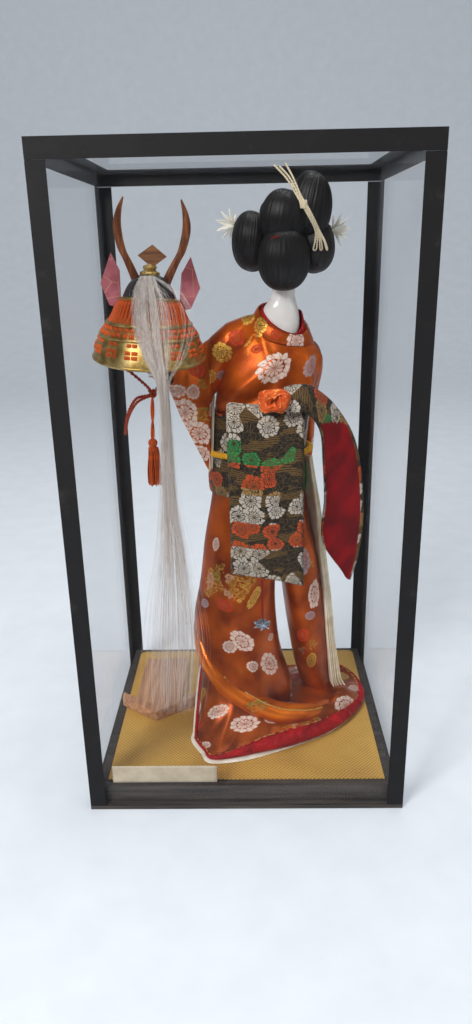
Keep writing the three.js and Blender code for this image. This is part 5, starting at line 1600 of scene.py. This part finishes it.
ink, lip_red, eye_white = paint("face_ink", "1a1210"), paint("lip_red", "a81a1c"), paint("eye_white", "efeae4")
ink_parts, eye_parts = [], []
for side in (-1, 1):
    eye_parts.append(painted("eyes", (side * EYE_ACROSS, EYE_UP), 3.3, 1.25, 0.06, side * 0.1))
    ink_parts.append(painted("ink", (side * (EYE_ACROSS - 0.2), EYE_UP), 1.15, 1.15, 0.12))
    ink_parts.append(painted("ink", (side * EYE_ACROSS, EYE_UP + 1.1), 3.6, 0.35, 0.14, side * 0.14))
    ink_parts.append(painted("ink", (side * (EYE_ACROSS + 0.4), BROW_UP), 3.6, 0.5, 0.08, side * 0.1))
piece(together("painted_eyes", eye_parts), eye_white, "head", "skin")
piece(together("painted_ink", ink_parts), ink, "head", "hair")
piece(painted("painted_lips", (0, LIPS_UP), 2.6, 1.0, 0.08), lip_red, "head", "red_silk")


# Hair
# Dyed silk fibre, combed over pads and waxed: a front roll, two side wings, the nape roll and a
# topknot of two lobes. The combing shows as fine grooves, brown where the light comes through.

# Middle, measured from the foot of the neck, half-sizes, direction of the combing
LOCKS = {
    "hair_side_left": ((-24, 2, 73), (13.5, 18, 20), (0.2, 0.15, 1.0)),
    "hair_side_right": ((21, 2, 69), (13.5, 18, 18), (-0.2, 0.15, 1.0)),
    "hair_chignon": ((-2, -16, 61), (18, 14, 20.5), (0.0, -0.1, 1.0)),
    "hair_front": ((0, 15, 91), (18, 15, 13), (1.0, 0.0, 0.0)),
}
TOPKNOT_LOBES = [((-2, -9, 87), (16, 14, 19), (0.25, 0.1, 1.0)), ((17, -5, 95), (14, 14, 22), (0.35, 0.0, 1.0))]
HAIR_ROWS = 44
HAIR_COLUMNS = 150
GROOVE = 0.16

hair = Finish("combed_silk_hair")
comb_at = hair.where((2600.0, 22.0, 1.0))
combing = hair.noise(comb_at, 1.0, 4.0, 0.7)
sheen_patch = hair.noise("Object", 26.0, 2.0)
hair_tone = hair.blend(combing, "050405", "15100e", 0.35, 0.75)
hair_tone = hair.blend(sheen_patch, hair_tone, "2c1d12", 0.52, 0.75, 0.0, 0.3)
hair.set(
    Base_Color=hair_tone,
    Roughness=hair.band(combing, 0.3, 0.7, 0.38, 0.52),
    Normal=hair.relief(combing, 0.00008),
    Anisotropic=0.5,
    Specular_IOR_Level=0.26,
)


def hair_form(name, middle, half, combing_axis, seed):
    """An egg of hair, combed from one pole to the other."""
    rng = np.random.default_rng(seed)
    axis = unit(combing_axis)
    aside = unit(np.cross(axis, (0.0, 1.0, 0.2)))
    ahead = np.cross(axis, aside)
    rise = np.linspace(-math.pi / 2 + 0.03, math.pi / 2 - 0.03, HAIR_ROWS)[:, None]
    around = all_round(HAIR_COLUMNS)
    locks = sum(rng.normal() * np.sin(k * around + rng.uniform(0, 6.3)) for k in range(22, 70, 4))
    groove = GROOVE * 0.5 * locks * np.cos(rise) ** 0.7
    full = np.cos(rise) ** 0.86
    egg = (
        full[..., None] * (np.cos(around)[..., None] * aside + np.sin(around)[..., None] * ahead)
        + (np.sign(np.sin(rise)) * np.abs(np.sin(rise)) ** 0.95 * np.ones_like(around))[..., None] * axis
    )
    points = egg * half + unit(egg) * groove[..., None]
    return solid(name, points + middle + NECK_AT)


for number, (lock, (middle, half, combing_axis)) in enumerate(LOCKS.items()):
    piece(hair_form(lock + "_fibre", middle, half, combing_axis, number), hair, "head", "hair", lock)
lobes = [hair_form("topknot_fibre", *lobe, 20 + i) for i, lobe in enumerate(TOPKNOT_LOBES)]
piece(together("topknot_fibre", lobes), hair, "head", "hair", "topknot")


# Hair ornaments
# The topknot is tied with stiff cords of twisted cream paper, their ends left in loops, and a red
# thread below it. A folded paper flower with pointed petals is pinned in at each side.
PAPER_CORD_RADIUS = 0.75
PAPER_WRAPS = 5
PAPER_CORD_LINE = [(-5, -15, 121), (2, -15.5, 112), (8, -17.0, 101), (14, -20.4, 91), (20, -18.4, 80), (22, -18.6, 72)]
# The loops at its end: x, how far it spreads, y, height
PAPER_LOOP = [
    (20.5, 0, -19.2, 80),
    (21.5, 1, -20.0, 73),
    (21.6, 1.6, -20.3, 67.5),
    (22.6, 1.5, -20.2, 66.6),
    (23.2, 1.3, -19.9, 68.2),
    (22.4, 0.8, -19.6, 74),
    (20.9, 0, -19.0, 80),
]
# Whorls of a paper flower: petals, reach, how far they stand out
FLOWER_WHORLS = [(9, 11.5, 2.5), (6, 11.5 * 0.62, 4.5)]

cream_paper = mottled(
    "twisted_cream_paper", "Object", (1500.0, 4.0, 0.7), [(0.3, "c9b58e"), (0.7, "efe5cd")],
    (0.3, 0.7, 0.6, 0.8), 0.00008,
)
cord_parts = []
for offset, start in ((-1.1, 0), (0.0, 1), (1.1, 0)):
    line = np.asarray(PAPER_CORD_LINE, float) + (offset, -0.2 * abs(offset), 0.4 * offset)
    line[0] += (2.4 * offset, 0.0, -1.5 * start)
    line[1] += (0.8 * offset, 0.0, 0.0)
    line[-1] += (1.8 * offset, 0.0, 0.6 * start)
    cord_parts.append(rope("paper_cord", smooth_line(line, 90) + NECK_AT, PAPER_CORD_RADIUS, 2, 16, sides=6))
for spread in (-2.4, 0.4, 3.0):
    loop = [(x + out * spread, y, z) for x, out, y, z in PAPER_LOOP]
    cord_parts.append(rope("paper_cord", smooth_line(loop, 70) + NECK_AT, PAPER_CORD_RADIUS * 0.75, 2, 12, sides=6))
wrap_turn = np.linspace(0, 2 * math.pi * PAPER_WRAPS, 120)
along = wrap_turn / 31
wrap_x, wrap_y = 10.6 + 2.1 * np.cos(wrap_turn) + 0.8 * along, -18.6 + 1.9 * np.sin(wrap_turn) - 0.4 * along
wrap_line = np.stack([wrap_x, wrap_y, 98.0 - 4.6 * along], axis=1)
cord_parts.append(rope("paper_cord", wrap_line + NECK_AT, PAPER_CORD_RADIUS, 2, 20, sides=6))
piece(together("paper_hair_cord", cord_parts), cream_paper, "head", "paper_white", "hair_cord")

turn = np.linspace(-0.9, 0.9, 40)
thread_y, thread_z = -25.6 + 2.2 * (1 - np.cos(turn)), 74.6 + 1.2 * np.cos(2 * turn)
thread_line = np.stack([-6 + 6.0 * np.sin(turn), thread_y, thread_z], axis=1)
piece(rope("red_hair_thread", thread_line + NECK_AT, 0.7, 2, 6, sides=6), red_thread, "head", "red_silk")

white_paper = mottled(
    "folded_white_paper", "UV", (1200.0, 4.0, 0.7), [(0.3, "d9d4c2"), (0.7, "f6f3e8")], 0.7, 0.00006,
    Subsurface_Weight=0.1, Subsurface_Scale=0.001,
)
for side, name in ((-1, "left"), (1, "right")):
    middle, half, _ = LOCKS[f"hair_side_{name}"]
    pin = np.array([middle[0] + side * (half[0] - 2.5), middle[1] + 5, middle[2] + 11]) + NECK_AT
    root = pin + (side * 1.2, 0, 0)
    petals = []
    for whorl, (count, reach, out) in enumerate(FLOWER_WHORLS):
        for i in range(count):
            a = 2 * math.pi * (i + 0.4 * whorl) / count
            aside = side * (out + 0.25 * reach) + 0.75 * reach * math.cos(a)
            tip = pin + (aside, 0.6 * reach * math.cos(a * 2 + 1) * 0.3, reach * math.sin(a))
            petals.append(leaf_petal("petal", root, tip, (side, -0.3, 0), 2.0, 0.8, point=0.9))
    flower = piece(together(f"paper_flower_{name}", petals), white_paper, "head", "paper_white", f"flower_{name}")
    thicken(flower, 0.0003)


# Helmet bowl and its fittings
# A black lacquered bowl with raised ribs, a gilt rosette on its crown, two brown copper horns and a
# plain diamond crest in front, and two leather-faced wings turned back at the sides.
HELMET_AT = np.array([-61.6, -25.0, 328.0])
HELMET_LEAN = math.radians(3.7)
BOWL_RADIUS = 20
BOWL_HEIGHT = 30
BOWL_RIBS = 24
BOWL_ROWS = 34
BOWL_COLUMNS = 240
HORN_OUT = [(11, 18), (18.5, 36), (23.5, 46), (26.2, 59), (24.3, 69), (19.7, 78)]
HORN_IN = [(6, 23), (12.8, 36), (17.6, 45), (20.4, 58), (20.4, 68), (18.9, 77)]
HORN_Y = 9
HORN_THICK = 2.2
EASED_CREST = 0.0004
EASED_WING = 0.0005
# Radius and height of the rosette's turned outline
ROSETTE = [
    (6.0, 29.0), (6.2, 30.0), (5.9, 31.0), (4.4, 31.6), (3.6, 32.6),
    (4.3, 33.6), (4.0, 34.8), (2.6, 35.4), (1.6, 35.9), (0.1, 36.2),
]


def leaned(points):
    """Places on the upright helmet, tipped as it is held; both are measured from the bowl's foot."""
    x, y, z = np.moveaxis(points, -1, 0)
    c, s = math.cos(HELMET_LEAN), math.sin(HELMET_LEAN)
    return np.stack([c * x + s * z, y, -s * x + c * z], axis=-1)


def on_helmet(points):
    return over_brocade(leaned(points) + HELMET_AT)


black_lacquer = mottled(
    "black_lacquer", "Object", (140.0, 5.0, 0.7), [(0.35, "0b0b0e"), (0.75, "24262c")],
    (0.3, 0.75, 0.18, 0.42), 0.00005, Coat_Weight=0.4, Coat_Roughness=0.12,
)
rise = np.linspace(0, math.pi / 2 - 0.01, BOWL_ROWS)[:, None]
round_bowl = circle(BOWL_COLUMNS)
rib = 0.55 * np.exp(-((np.sin(BOWL_RIBS / 2 * round_bowl) / 0.28) ** 2)) * np.cos(rise) ** 0.5
bowl_radius = BOWL_RADIUS * np.cos(rise) ** 0.85 + rib
bowl_grid = lathe(bowl_radius, round_bowl, BOWL_HEIGHT * np.sin(rise))
bowl_mesh = skin("helmet_bowl_lacquer", on_helmet(bowl_grid), wrapped=True)
bowl = piece(bowl_mesh, black_lacquer, "helmet", "black_lacquer", "helmet_bowl")
thicken(bowl, 0.0018, -1.0)

copper = Finish("brown_copper")
streak = copper.noise(copper.where((300.0, 300.0, 30.0), "Object"), 1.0, 6.0, 0.65)
patina = copper.noise("Object", 160.0, 4.0)
copper_tone = copper.steps(streak, [(0.3, "4a2412"), (0.5, "7d4526"), (0.7, "a9673c")])
copper_tone = copper.blend(patina, copper_tone, "3a2a20", 0.55, 0.75, 0.0, 0.6)
copper.set(
    Base_Color=copper_tone,
    Metallic=0.55,
    Roughness=copper.band(streak, 0.3, 0.7, 0.3, 0.46),
    Normal=copper.relief(streak, 0.0001),
)
for side, name in ((-1, "left"), (1, "right")):
    outer = smooth_line([(x, 0, z) for x, z in HORN_OUT], 60)
    inner = smooth_line([(x, 0, z) for x, z in HORN_IN], 60)
    middle = (outer + inner) / 2
    half = (outer - inner) / 2
    turn = circle(20)[None, :, None]
    taper = np.linspace(1, 0.35, 60)[:, None, None]
    rings = middle[:, None] + half[:, None] * np.cos(turn) + np.array([0, HORN_THICK / 2, 0]) * np.sin(turn) * taper
    rings = rings + (0, HORN_Y, 0)
    rings[:, :, 0] *= side
    horn_mesh = skin(f"helmet_horn_{name}", on_helmet(rings), wrapped=True, ends=True)
    piece(horn_mesh, copper, "helmet", "copper", f"horn_{name}")

dress(grained_wood("crest_wood", "6b3c20", "b07848", 0, 0.4, 0.2), "crest", corners=EASED_CREST)

leather = Finish("dusty_red_leather")
hide = leather.noise("Object", 500.0, 5.0, 0.7)
fade = leather.noise("Object", 60.0, 4.0)
wing_tone = leather.blend(fade, "7e3038", "b0606a", 0.35, 0.7)
hide_at = leather.where(place="Object")
cracks = leather.add("TexVoronoi", {"Vector": hide_at, "Scale": 75.0}, feature="DISTANCE_TO_EDGE")
wing_tone = leather.blend(cracks, wing_tone, "d8b27a", 0.0, 0.012, 0.7, 0.0)
leather.set(
    Base_Color=wing_tone,
    Roughness=leather.band(hide, 0.3, 0.7, 0.45, 0.65),
    Normal=leather.relief(hide, 0.00012),
)
dress(leather, "wing_left", "wing_right", corners=EASED_WING)

gilt = Finish("gilt_plate")
tarnish = gilt.noise("Object", 110.0, 6.0, 0.7)
brushed = gilt.noise("Object", 1200.0, 2.0)
gilt_tone = gilt.steps(tarnish, [(0.25, "5e4a20"), (0.5, "a88a4a"), (0.75, "d9c48c")])
gilt.set(
    Base_Color=gilt_tone,
    Metallic=0.95,
    Roughness=gilt.band(tarnish, 0.3, 0.75, 0.3, 0.5),
    Normal=gilt.relief(tarnish + brushed * 0.3, 0.00008),
)
rosette_line = smooth_line([(r, 0, z) for r, z in ROSETTE], 50)
round_rosette = circle(96)
petalled = 1 + 0.09 * np.abs(np.sin(6 * round_rosette)) * eased(rosette_line[:, 0:1], 1.0, 4.0)
rosette_grid = lathe(rosette_line[:, 0:1] * petalled, round_rosette, rosette_line[:, 2:3])
piece(skin("crown_rosette", on_helmet(rosette_grid), wrapped=True, ends=True), gilt, "helmet", "gilt", "finial")


# Neck guard
# Three flared tiers of gilt plate, laced one under the other with orange silk: close upright
# lacing in the top tier, blocks in the next, and spaced knots in pairs on the wide lowest one.
GUARD_TOP_RADIUS = 20.94
GUARD_RADIUS = 37.9
GUARD_TOP = 2
GUARD_DROP = 27
GUARD_TAIL = 4
# Shares of the way down at which its tiers begin and end
GUARD_TIERS = (0.0, 0.13, 0.4, 1.0)
GUARD_STEP = 1.2
GUARD_TUCK = 4.5
GUARD_BELL = 5.0
LACING_TOP = -0.36
GUARD_HALF_ANGLE = math.radians(118)
GUARD_THICK = 1.1


def guard_points(angle, share, out=0.0):
    """Surface of the guard at an angle from the back and a share of its way down."""
    angle, share = np.broadcast_arrays(angle, share)
    edges = np.asarray(GUARD_TIERS)
    at = np.clip(np.searchsorted(edges, share, side="right") - 1, 0, len(edges) - 2)
    tier = np.maximum(share - edges[at], 0) / (edges[at + 1] - edges[at])
    flare = np.where(share > 0, (GUARD_RADIUS - GUARD_TOP_RADIUS) * share, GUARD_TUCK * share)
    bell = GUARD_BELL * np.sin(np.pi * np.clip((share - LACING_TOP) / (1 - LACING_TOP), 0, 1))
    radius = GUARD_TOP_RADIUS + flare + bell + GUARD_STEP * tier * (1 - share) + out * 0.8
    drop = (GUARD_DROP + GUARD_TAIL * np.cos(angle)) * np.sign(share) * np.abs(share) ** 0.9
    return np.stack([radius * np.sin(angle), -radius * np.cos(angle), GUARD_TOP - drop + out * 0.5], axis=-1)


guard_angles = np.linspace(-GUARD_HALF_ANGLE, GUARD_HALF_ANGLE, 140)
tier_meshes = []
for begins, ends in zip(GUARD_TIERS, GUARD_TIERS[1:]):
    share = np.linspace(begins + 0.001, ends - 0.002, 14)
    tier_meshes.append(skin("tier", on_helmet(guard_points(guard_angles[None, :], share[:, None]))))
    rim = tube(guard_points(guard_angles, np.full(len(guard_angles), ends - 0.006), 0.1), 0.75, 8)
    tier_meshes.append(skin("tier", on_helmet(rim), wrapped=True, ends=True))
rim = tube(guard_points(guard_angles, np.full(len(guard_angles), LACING_TOP), 0.3), 0.7, 8)
tier_meshes.append(skin("tier", on_helmet(rim), wrapped=True, ends=True))
guard = piece(together("guard_plates", tier_meshes), gilt, "helmet", "gilt", "neck_guard")
thicken(guard, GUARD_THICK * MM)

orange_thread = thread("orange_lacing_silk", "8a2a04", "e8640c", 0.55)


def lace(angle, low, high, half_angle, lift):
    """One pad of lacing, crowned over the plate between two heights."""
    a = angle + half_angle * np.linspace(-1, 1, 7)[None, :]
    s = low + (high - low) * np.linspace(0, 1, 7)[:, None]
    wide = np.linspace(-1, 1, 7)
    crown = lift * np.sqrt((1 - wide[None, :] ** 4) * (1 - wide[:, None] ** 6))
    return skin("lace", on_helmet(guard_points(a, s, 0.55 + crown)))


laces = []
for a in np.linspace(-GUARD_HALF_ANGLE + 0.06, GUARD_HALF_ANGLE - 0.06, 34):
    laces.append(lace(a, LACING_TOP + 0.02, 0.11, 0.045, 1.1))
for group in np.linspace(-GUARD_HALF_ANGLE + 0.16, GUARD_HALF_ANGLE - 0.16, 13):
    for dx, low, high in ((-0.072, 0.165, 0.25), (0.072, 0.165, 0.25), (-0.072, 0.27, 0.36), (0.072, 0.27, 0.36)):
        laces.append(lace(group + dx, low, high, 0.062, 0.9))
for group in np.linspace(-GUARD_HALF_ANGLE + 0.16, GUARD_HALF_ANGLE - 0.16, 10):
    for low, high, half in ((0.46, 0.54, 0.05), (0.61, 0.7, 0.06), (0.715, 0.805, 0.06)):
        laces += [lace(group + dx, low, high, half, 1.0) for dx in (-1.1 * half, 1.1 * half)]
piece(together("guard_lacing", laces), orange_thread, "helmet", "kimono")


# Mane
# Long pale hair fixed under the rosette. It fans over the bowl, is gathered behind the guard, and
# hangs free almost to the floor, thin enough at its end to see through.

# Height from the bowl's foot, x, y, half-width, half-depth
MANE = [
    (-288, 8, -44.5, 16, 3.5),
    (-262, 9.5, -44.5, 18, 5),
    (-229, 12.4, -44.5, 18, 5),
    (-194, 13.3, -44.5, 15, 5),
    (-159, 13.6, -44.5, 10.2, 4.5),
    (-124, 12.8, -44.5, 6.2, 4),
    (-98, 12.8, -44.5, 4.9, 3.5),
    (-67, 12.8, -44.5, 4.3, 3.2),
    (-44, 12.4, -44.5, 4.0, 3),
    (-33, 11.5, -44.5, 4.8, 3),
    (-21, 8, -40.2, 8, 2.6),
    (-9, 5, -34.2, 10.5, 2.2),
    (4, 3.5, -28.2, 11.5, 2),
    (14, 2.5, -23.2, 10.5, 2),
    (22, 2, -18.2, 8.5, 1.9),
    (29, 1.5, -9.5, 5, 1.8),
]
# Some locks have slipped off the bowl to the right, and one to the left: height and how far
WISPS = {0: 1.0, 1: 0.85, 2: 0.7, 3: 1.1, 4: -0.5, 5: -0.4}
WISP = [(-36, 0), (-22, 10), (-8, 16), (6, 17), (18, 13), (29, 0)]
MANE_STRANDS = 480
MANE_LOCKS = 34
STRAND_RADIUS = 0.042
STRAND_POINTS = 34

pale_hair = mottled(
    "pale_horsehair", "Object", (1.0, 3.0), [(0.3, "b8aba2"), (0.5, "d8cdc5"), (0.7, "f0e9e3")], 0.45,
    stretch=(900.0, 900.0, 12.0), Sheen_Weight=0.2, Specular_IOR_Level=0.5,
)
mane_random = random.Random(7)
locks = []
for lock in range(MANE_LOCKS):
    turn, far = mane_random.uniform(0, 2 * math.pi), math.sqrt(mane_random.random())
    locks.append((far * math.cos(turn), far * math.sin(turn), WISPS.get(lock, 0.0)))
mane_curve = bpy.data.curves.new("mane_hair", "CURVE")
mane_curve.dimensions = "3D"
mane_curve.bevel_depth = STRAND_RADIUS * MM
mane_curve.bevel_resolution = 0
for strand in range(MANE_STRANDS):
    wide, deep, slipped = mane_random.choice(locks)
    deep += mane_random.gauss(0, 0.12)
    end = -286 + 55 * mane_random.random() ** 2.2
    start = 29 - 6 * mane_random.random() ** 3
    heights = start + (end - start) * np.linspace(0, 1, STRAND_POINTS)
    s = section(MANE, heights)
    phase, sway = mane_random.uniform(0, 6.3), mane_random.gauss(0, 0.7)
    stray = mane_random.gauss(0, 0.10) * eased(-heights, 60, 280)
    loose = mane_random.gauss(0, 1) * (0.07 + 0.2 * eased(-heights, 20, 150))
    x = s[:, 0] + s[:, 2] * (wide + loose + stray) + 0.5 * sway * np.sin(heights / 33 + phase)
    y = s[:, 1] + s[:, 3] * deep + 0.35 * sway * np.cos(heights / 41 + phase)
    x = x + slipped * np.interp(heights, *zip(*WISP)) * mane_random.uniform(0.8, 1.2)
    path = over_brocade(np.stack([x, y, heights], axis=1) + HELMET_AT)
    spline = mane_curve.splines.new("POLY")
    spline.points.add(STRAND_POINTS - 1)
    spline.points.foreach_set("co", np.concatenate([path, np.ones((STRAND_POINTS, 1))], axis=1).ravel())
    spline.points.foreach_set("radius", np.linspace(1.0, 0.55, STRAND_POINTS))
piece(mane_curve, pale_hair, "helmet", "mane", "mane")


# Chin cord and tassel
# A twisted red cord is laced through the guard on both sides, knotted under the helmet and left in
# one long loop. An orange silk tassel hangs from the knot on two strands.
CHIN_CORD_RADIUS = 1.2
# Places from the bowl's foot; a seat is an angle from the back, a share of the guard, the next place
KNOT_AT = np.array([-1.0, 0.0, -51.0])
CORD_SEATS = ((-46, 0.75, (-10, -9, -38)), (50, 0.72, (8, -6, -39)))
CORD_LOOP = [(-13, 2, -55), (-20, 2, -67), (-22, 0, -80), (-19, -2, -68), (-12, -2, -57)]
TASSEL_RADIUS = 5.8
TASSEL_LENGTH = 35
TASSEL_DROP = 33
TASSEL_ASIDE = 1.6
TASSEL_STRANDS = 120
TASSEL_THREAD = 0.34
TASSEL_NECK = 6.5
TASSEL_STRING_RADIUS = 1.5
# Radius and height of the tassel's bound head
TASSEL_HEAD = [(0.6, 0.0), (2.4, -0.8), (3.2, -2.6), (2.9, -4.6), (2.3, -5.8), (2.6, -6.6), (3.2, -8.5)]

left_seat, right_seat = (leaned(guard_points(math.radians(turn), share, -1.4)) for turn, share, _ in CORD_SEATS)
into_knot, out_of_knot = KNOT_AT + (-0.6, 0, 0), KNOT_AT + (0.6, 0, 0)
chin_line = [left_seat, CORD_SEATS[0][2], into_knot, *CORD_LOOP, out_of_knot, CORD_SEATS[1][2], right_seat]
chin_path = smooth_line(chin_line, 220) + HELMET_AT
cord_red = thread("red_brown_cord", "6e1a0a", "b8441c")
chin_rope = rope("chin_cord_twist", chin_path, CHIN_CORD_RADIUS, 2, 34)
chin_cord = piece(chin_rope, cord_red, "helmet", "red_silk", "chin_cord")

knot_turn = np.linspace(0, 2 * math.pi, 90)
knot_wide = 1 + 0.3 * np.cos(3 * knot_turn)
knot_line = np.stack(
    [2.0 * knot_wide * np.cos(2 * knot_turn), 1.6 * knot_wide * np.sin(2 * knot_turn), 2.2 * np.sin(3 * knot_turn)],
    axis=1,
)
cord_knot = piece(rope("chin_cord_knot", knot_line + KNOT_AT + HELMET_AT, 1.1, 2, 14), cord_red, "helmet", "red_silk")

tassel_end = KNOT_AT - (TASSEL_ASIDE, 0, TASSEL_DROP)
tassel_parts = []
head_line = smooth_line([(r, 0, z) for r, z in TASSEL_HEAD], 24)
round_tassel = circle(48)
bound = head_line[:, 0:1] * (1 + 0.06 * np.sin(16 * round_tassel))
tassel_head = lathe(bound, round_tassel, head_line[:, 2:3])
tassel_parts.append(solid("tassel_skein", tassel_head + tassel_end + HELMET_AT))
tassel_random = random.Random(11)
for strand in range(TASSEL_STRANDS):
    a = tassel_random.uniform(0, 2 * math.pi)
    far = math.sqrt(tassel_random.random())
    down = np.linspace(0, 1, 10)
    reach = far * (3.4 + (TASSEL_RADIUS - 3.6) * down**0.7) + 0.25 * np.sin(down * 7 + a)
    length = TASSEL_LENGTH - TASSEL_NECK - 3.0 * tassel_random.random()
    line = np.stack([reach * np.cos(a), reach * np.sin(a), -TASSEL_NECK - length * down], axis=1)
    tassel_parts.append(rod("tassel_skein", line + tassel_end + HELMET_AT, TASSEL_THREAD, 5))
tassel_skein = piece(together("tassel_skein", tassel_parts), orange_thread, "tassel", "kimono", "tassel")
tassel_line = np.linspace(KNOT_AT - (0, 0, 1.0), tassel_end - (0, 0, 1.5), 50) + HELMET_AT
tassel_rope = rope("tassel_strings", tassel_line, TASSEL_STRING_RADIUS, 2, 1)
tassel_strings = piece(tassel_rope, orange_thread, "tassel", "kimono")


# Notice board
# A small pentagonal board of plain pale wood with a gabled rail across its top, fallen on its back
# on the brocade beside the doll.
EASED_NOTICE = 0.0006

pale_wood = grained_wood("pale_board_wood", "9c6a4a", "cfa07c", 1, 0.5, 0.15)
dress(pale_wood, "sign_board", "sign_roof", corners=EASED_NOTICE)


# Glass hood
# Five panes of clear glass, edge to edge, bound along the uprights and round the top with matt black
# tape. The tape is lightly creased and has worn brown at its corners.
EASED_TAPE = 0.0003

glass = Finish("clear_glass")
smear = glass.noise("Object", 9.0, 4.0, 0.6)
# The panes' grey, stronger at grazing angles, is partly their own gloss and partly a painted reflection.
facing = glass.add("LayerWeight", {"Blend": 0.3}, "Facing")
glass.set(
    Base_Color=(0.42, 0.44, 0.48, 1.0),
    Roughness=glass.band(smear, 0.3, 0.7, 0.02, 0.06),
    Alpha=glass.band(facing, 0.0, 1.0, 0.005, 0.25),
)
dress(glass, "glass_front", "glass_back", "glass_left", "glass_right", "glass_top")

tape = Finish("matt_black_tape")
linen = tape.noise(tape.where((1400.0, 1400.0, 1400.0), "Object"), 1.0, 2.0)
rubbed = tape.noise("Object", 38.0, 6.0, 0.7)
tape_tone = tape.blend(rubbed, "141314", "3f3833", 0.55, 0.75, 0.0, 0.55)
tape.set(
    Base_Color=tape_tone,
    Roughness=tape.band(rubbed, 0.3, 0.7, 0.5, 0.68),
    Specular_IOR_Level=0.25,
    Normal=tape.relief(linen + rubbed, 0.00012),
)
bindings = [f"corner_binding_{end}_{side}" for end in ("front", "back") for side in ("left", "right")]
bindings += [f"top_binding_{side}" for side in ("front", "back", "left", "right")]
dress(tape, *bindings, corners=EASED_TAPE)


# Label
# A blank slip of cream paper, cut by hand and stuck with paste low on the front pane. It has
# darkened, and one corner is starting to lift off the glass.
LABEL_LEFT, LABEL_RIGHT = -97.0, -20.8
LABEL_LOW, LABEL_HIGH = 23.4, 37.8
LABEL_ROWS, LABEL_COLUMNS = 8, 24

glass_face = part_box("glass_front")[0][1] / MM
share = np.linspace(0, 1, LABEL_COLUMNS)
label_x = LABEL_LEFT + (LABEL_RIGHT - LABEL_LEFT) * share
label_z = np.linspace(LABEL_LOW, LABEL_HIGH, LABEL_ROWS)[:, None]
lift = 0.15 + 0.5 * eased(share, 0.9, 1.0) * eased(label_z, 33, 37.8)
label_grid = np.stack(np.broadcast_arrays(label_x, glass_face - lift, label_z), axis=2)
label_paper = mottled(
    "cream_label_paper", "UV", (70.0, 5.0, 0.6), [(0.3, "a89a84"), (0.7, "c6b9a2")], 0.75, 0.00005
)
label = piece(skin("blank_label", label_grid * MM), label_paper, "hood", "paper_white")
thicken(label, 0.0002)


# Studio
# A plain pale floor that runs up to a pale surround, a large soft lamp from the upper left, a
# weaker one from the right and one over the top.
SWEEP_HALF_WIDTH = 5.0
SWEEP_FRONT = -4.0
SWEEP_BACK = 1.6
SWEEP_RADIUS = 1.2
SWEEP_TOP = 4.0
SWEEP_GLOW = 0.2
SURROUND_LIGHT = 0.22
SURROUND_SEEN = 0.55
LAMPS = [
    ("key_lamp", (-0.85, -1.25, 1.2), 0.55, 26.0),
    ("fill_lamp", (1.3, -1.0, 0.9), 1.0, 5.0),
    ("top_lamp", (0.15, 0.1, 1.7), 0.8, 12.0),
]

sweep = Finish("pale_paper_sweep")
by_camera = sweep.add("LightPath", output="Is Camera Ray")
by_gloss = sweep.add("LightPath", output="Is Glossy Ray")
through_glass = sweep.add("LightPath", output="Is Transmission Ray")
seen = sweep.number("MAXIMUM", by_camera, by_gloss)
seen = sweep.number("MAXIMUM", seen, through_glass)
speck = sweep.noise("Object", 30.0, 3.0)
sweep.set(
    Base_Color=sweep.steps(speck, [(0.3, "ccd1d7"), (0.7, "d3d7dc")]),
    Roughness=0.85,
    Emission_Color=(0.8, 0.9, 1.0, 1.0),
    Emission_Strength=seen * SWEEP_GLOW,
)
bend = np.linspace(0, math.pi / 2, 24)
sweep_line = [(SWEEP_FRONT, 0.0)]
sweep_line += [(SWEEP_BACK + SWEEP_RADIUS * math.sin(a), SWEEP_RADIUS * (1 - math.cos(a))) for a in bend]
sweep_line += [(SWEEP_BACK + SWEEP_RADIUS, SWEEP_TOP)]
sweep_grid = np.array([[(x * SWEEP_HALF_WIDTH, y, z - 0.0004) for x in (-1, 1)] for y, z in sweep_line])
sweep_mesh = skin("studio_sweep", sweep_grid)
sweep_mesh.materials.append(sweep.material)
studio_sweep = bpy.data.objects.new("studio_sweep", sweep_mesh)
scene.collection.objects.link(studio_sweep)

for name, place, size, power in LAMPS:
    lamp_data = bpy.data.lights.new(name, "AREA")
    lamp_data.shape = "SQUARE"
    lamp_data.size = size
    lamp_data.energy = power
    lamp = bpy.data.objects.new(name, lamp_data)
    lamp.location = place
    lamp.rotation_euler = (Vector((0, 0, 0.2)) - Vector(place)).to_track_quat("-Z", "Y").to_euler()
    scene.collection.objects.link(lamp)

world = bpy.data.worlds.new("pale_surround")
scene.world = world
world.use_nodes = True
tree = world.node_tree
surround = tree.nodes["Background"]
surround.inputs["Color"].default_value = (0.86, 0.89, 0.93, 1.0)
rays = tree.nodes.new("ShaderNodeLightPath")
strength = tree.nodes.new("ShaderNodeMapRange")
strength.inputs["To Min"].default_value = SURROUND_LIGHT
strength.inputs["To Max"].default_value = SURROUND_SEEN
tree.links.new(rays.outputs["Is Camera Ray"], strength.inputs["Value"])
tree.links.new(strength.outputs[0], surround.inputs["Strength"])
scene.view_settings.view_transform = "Standard"
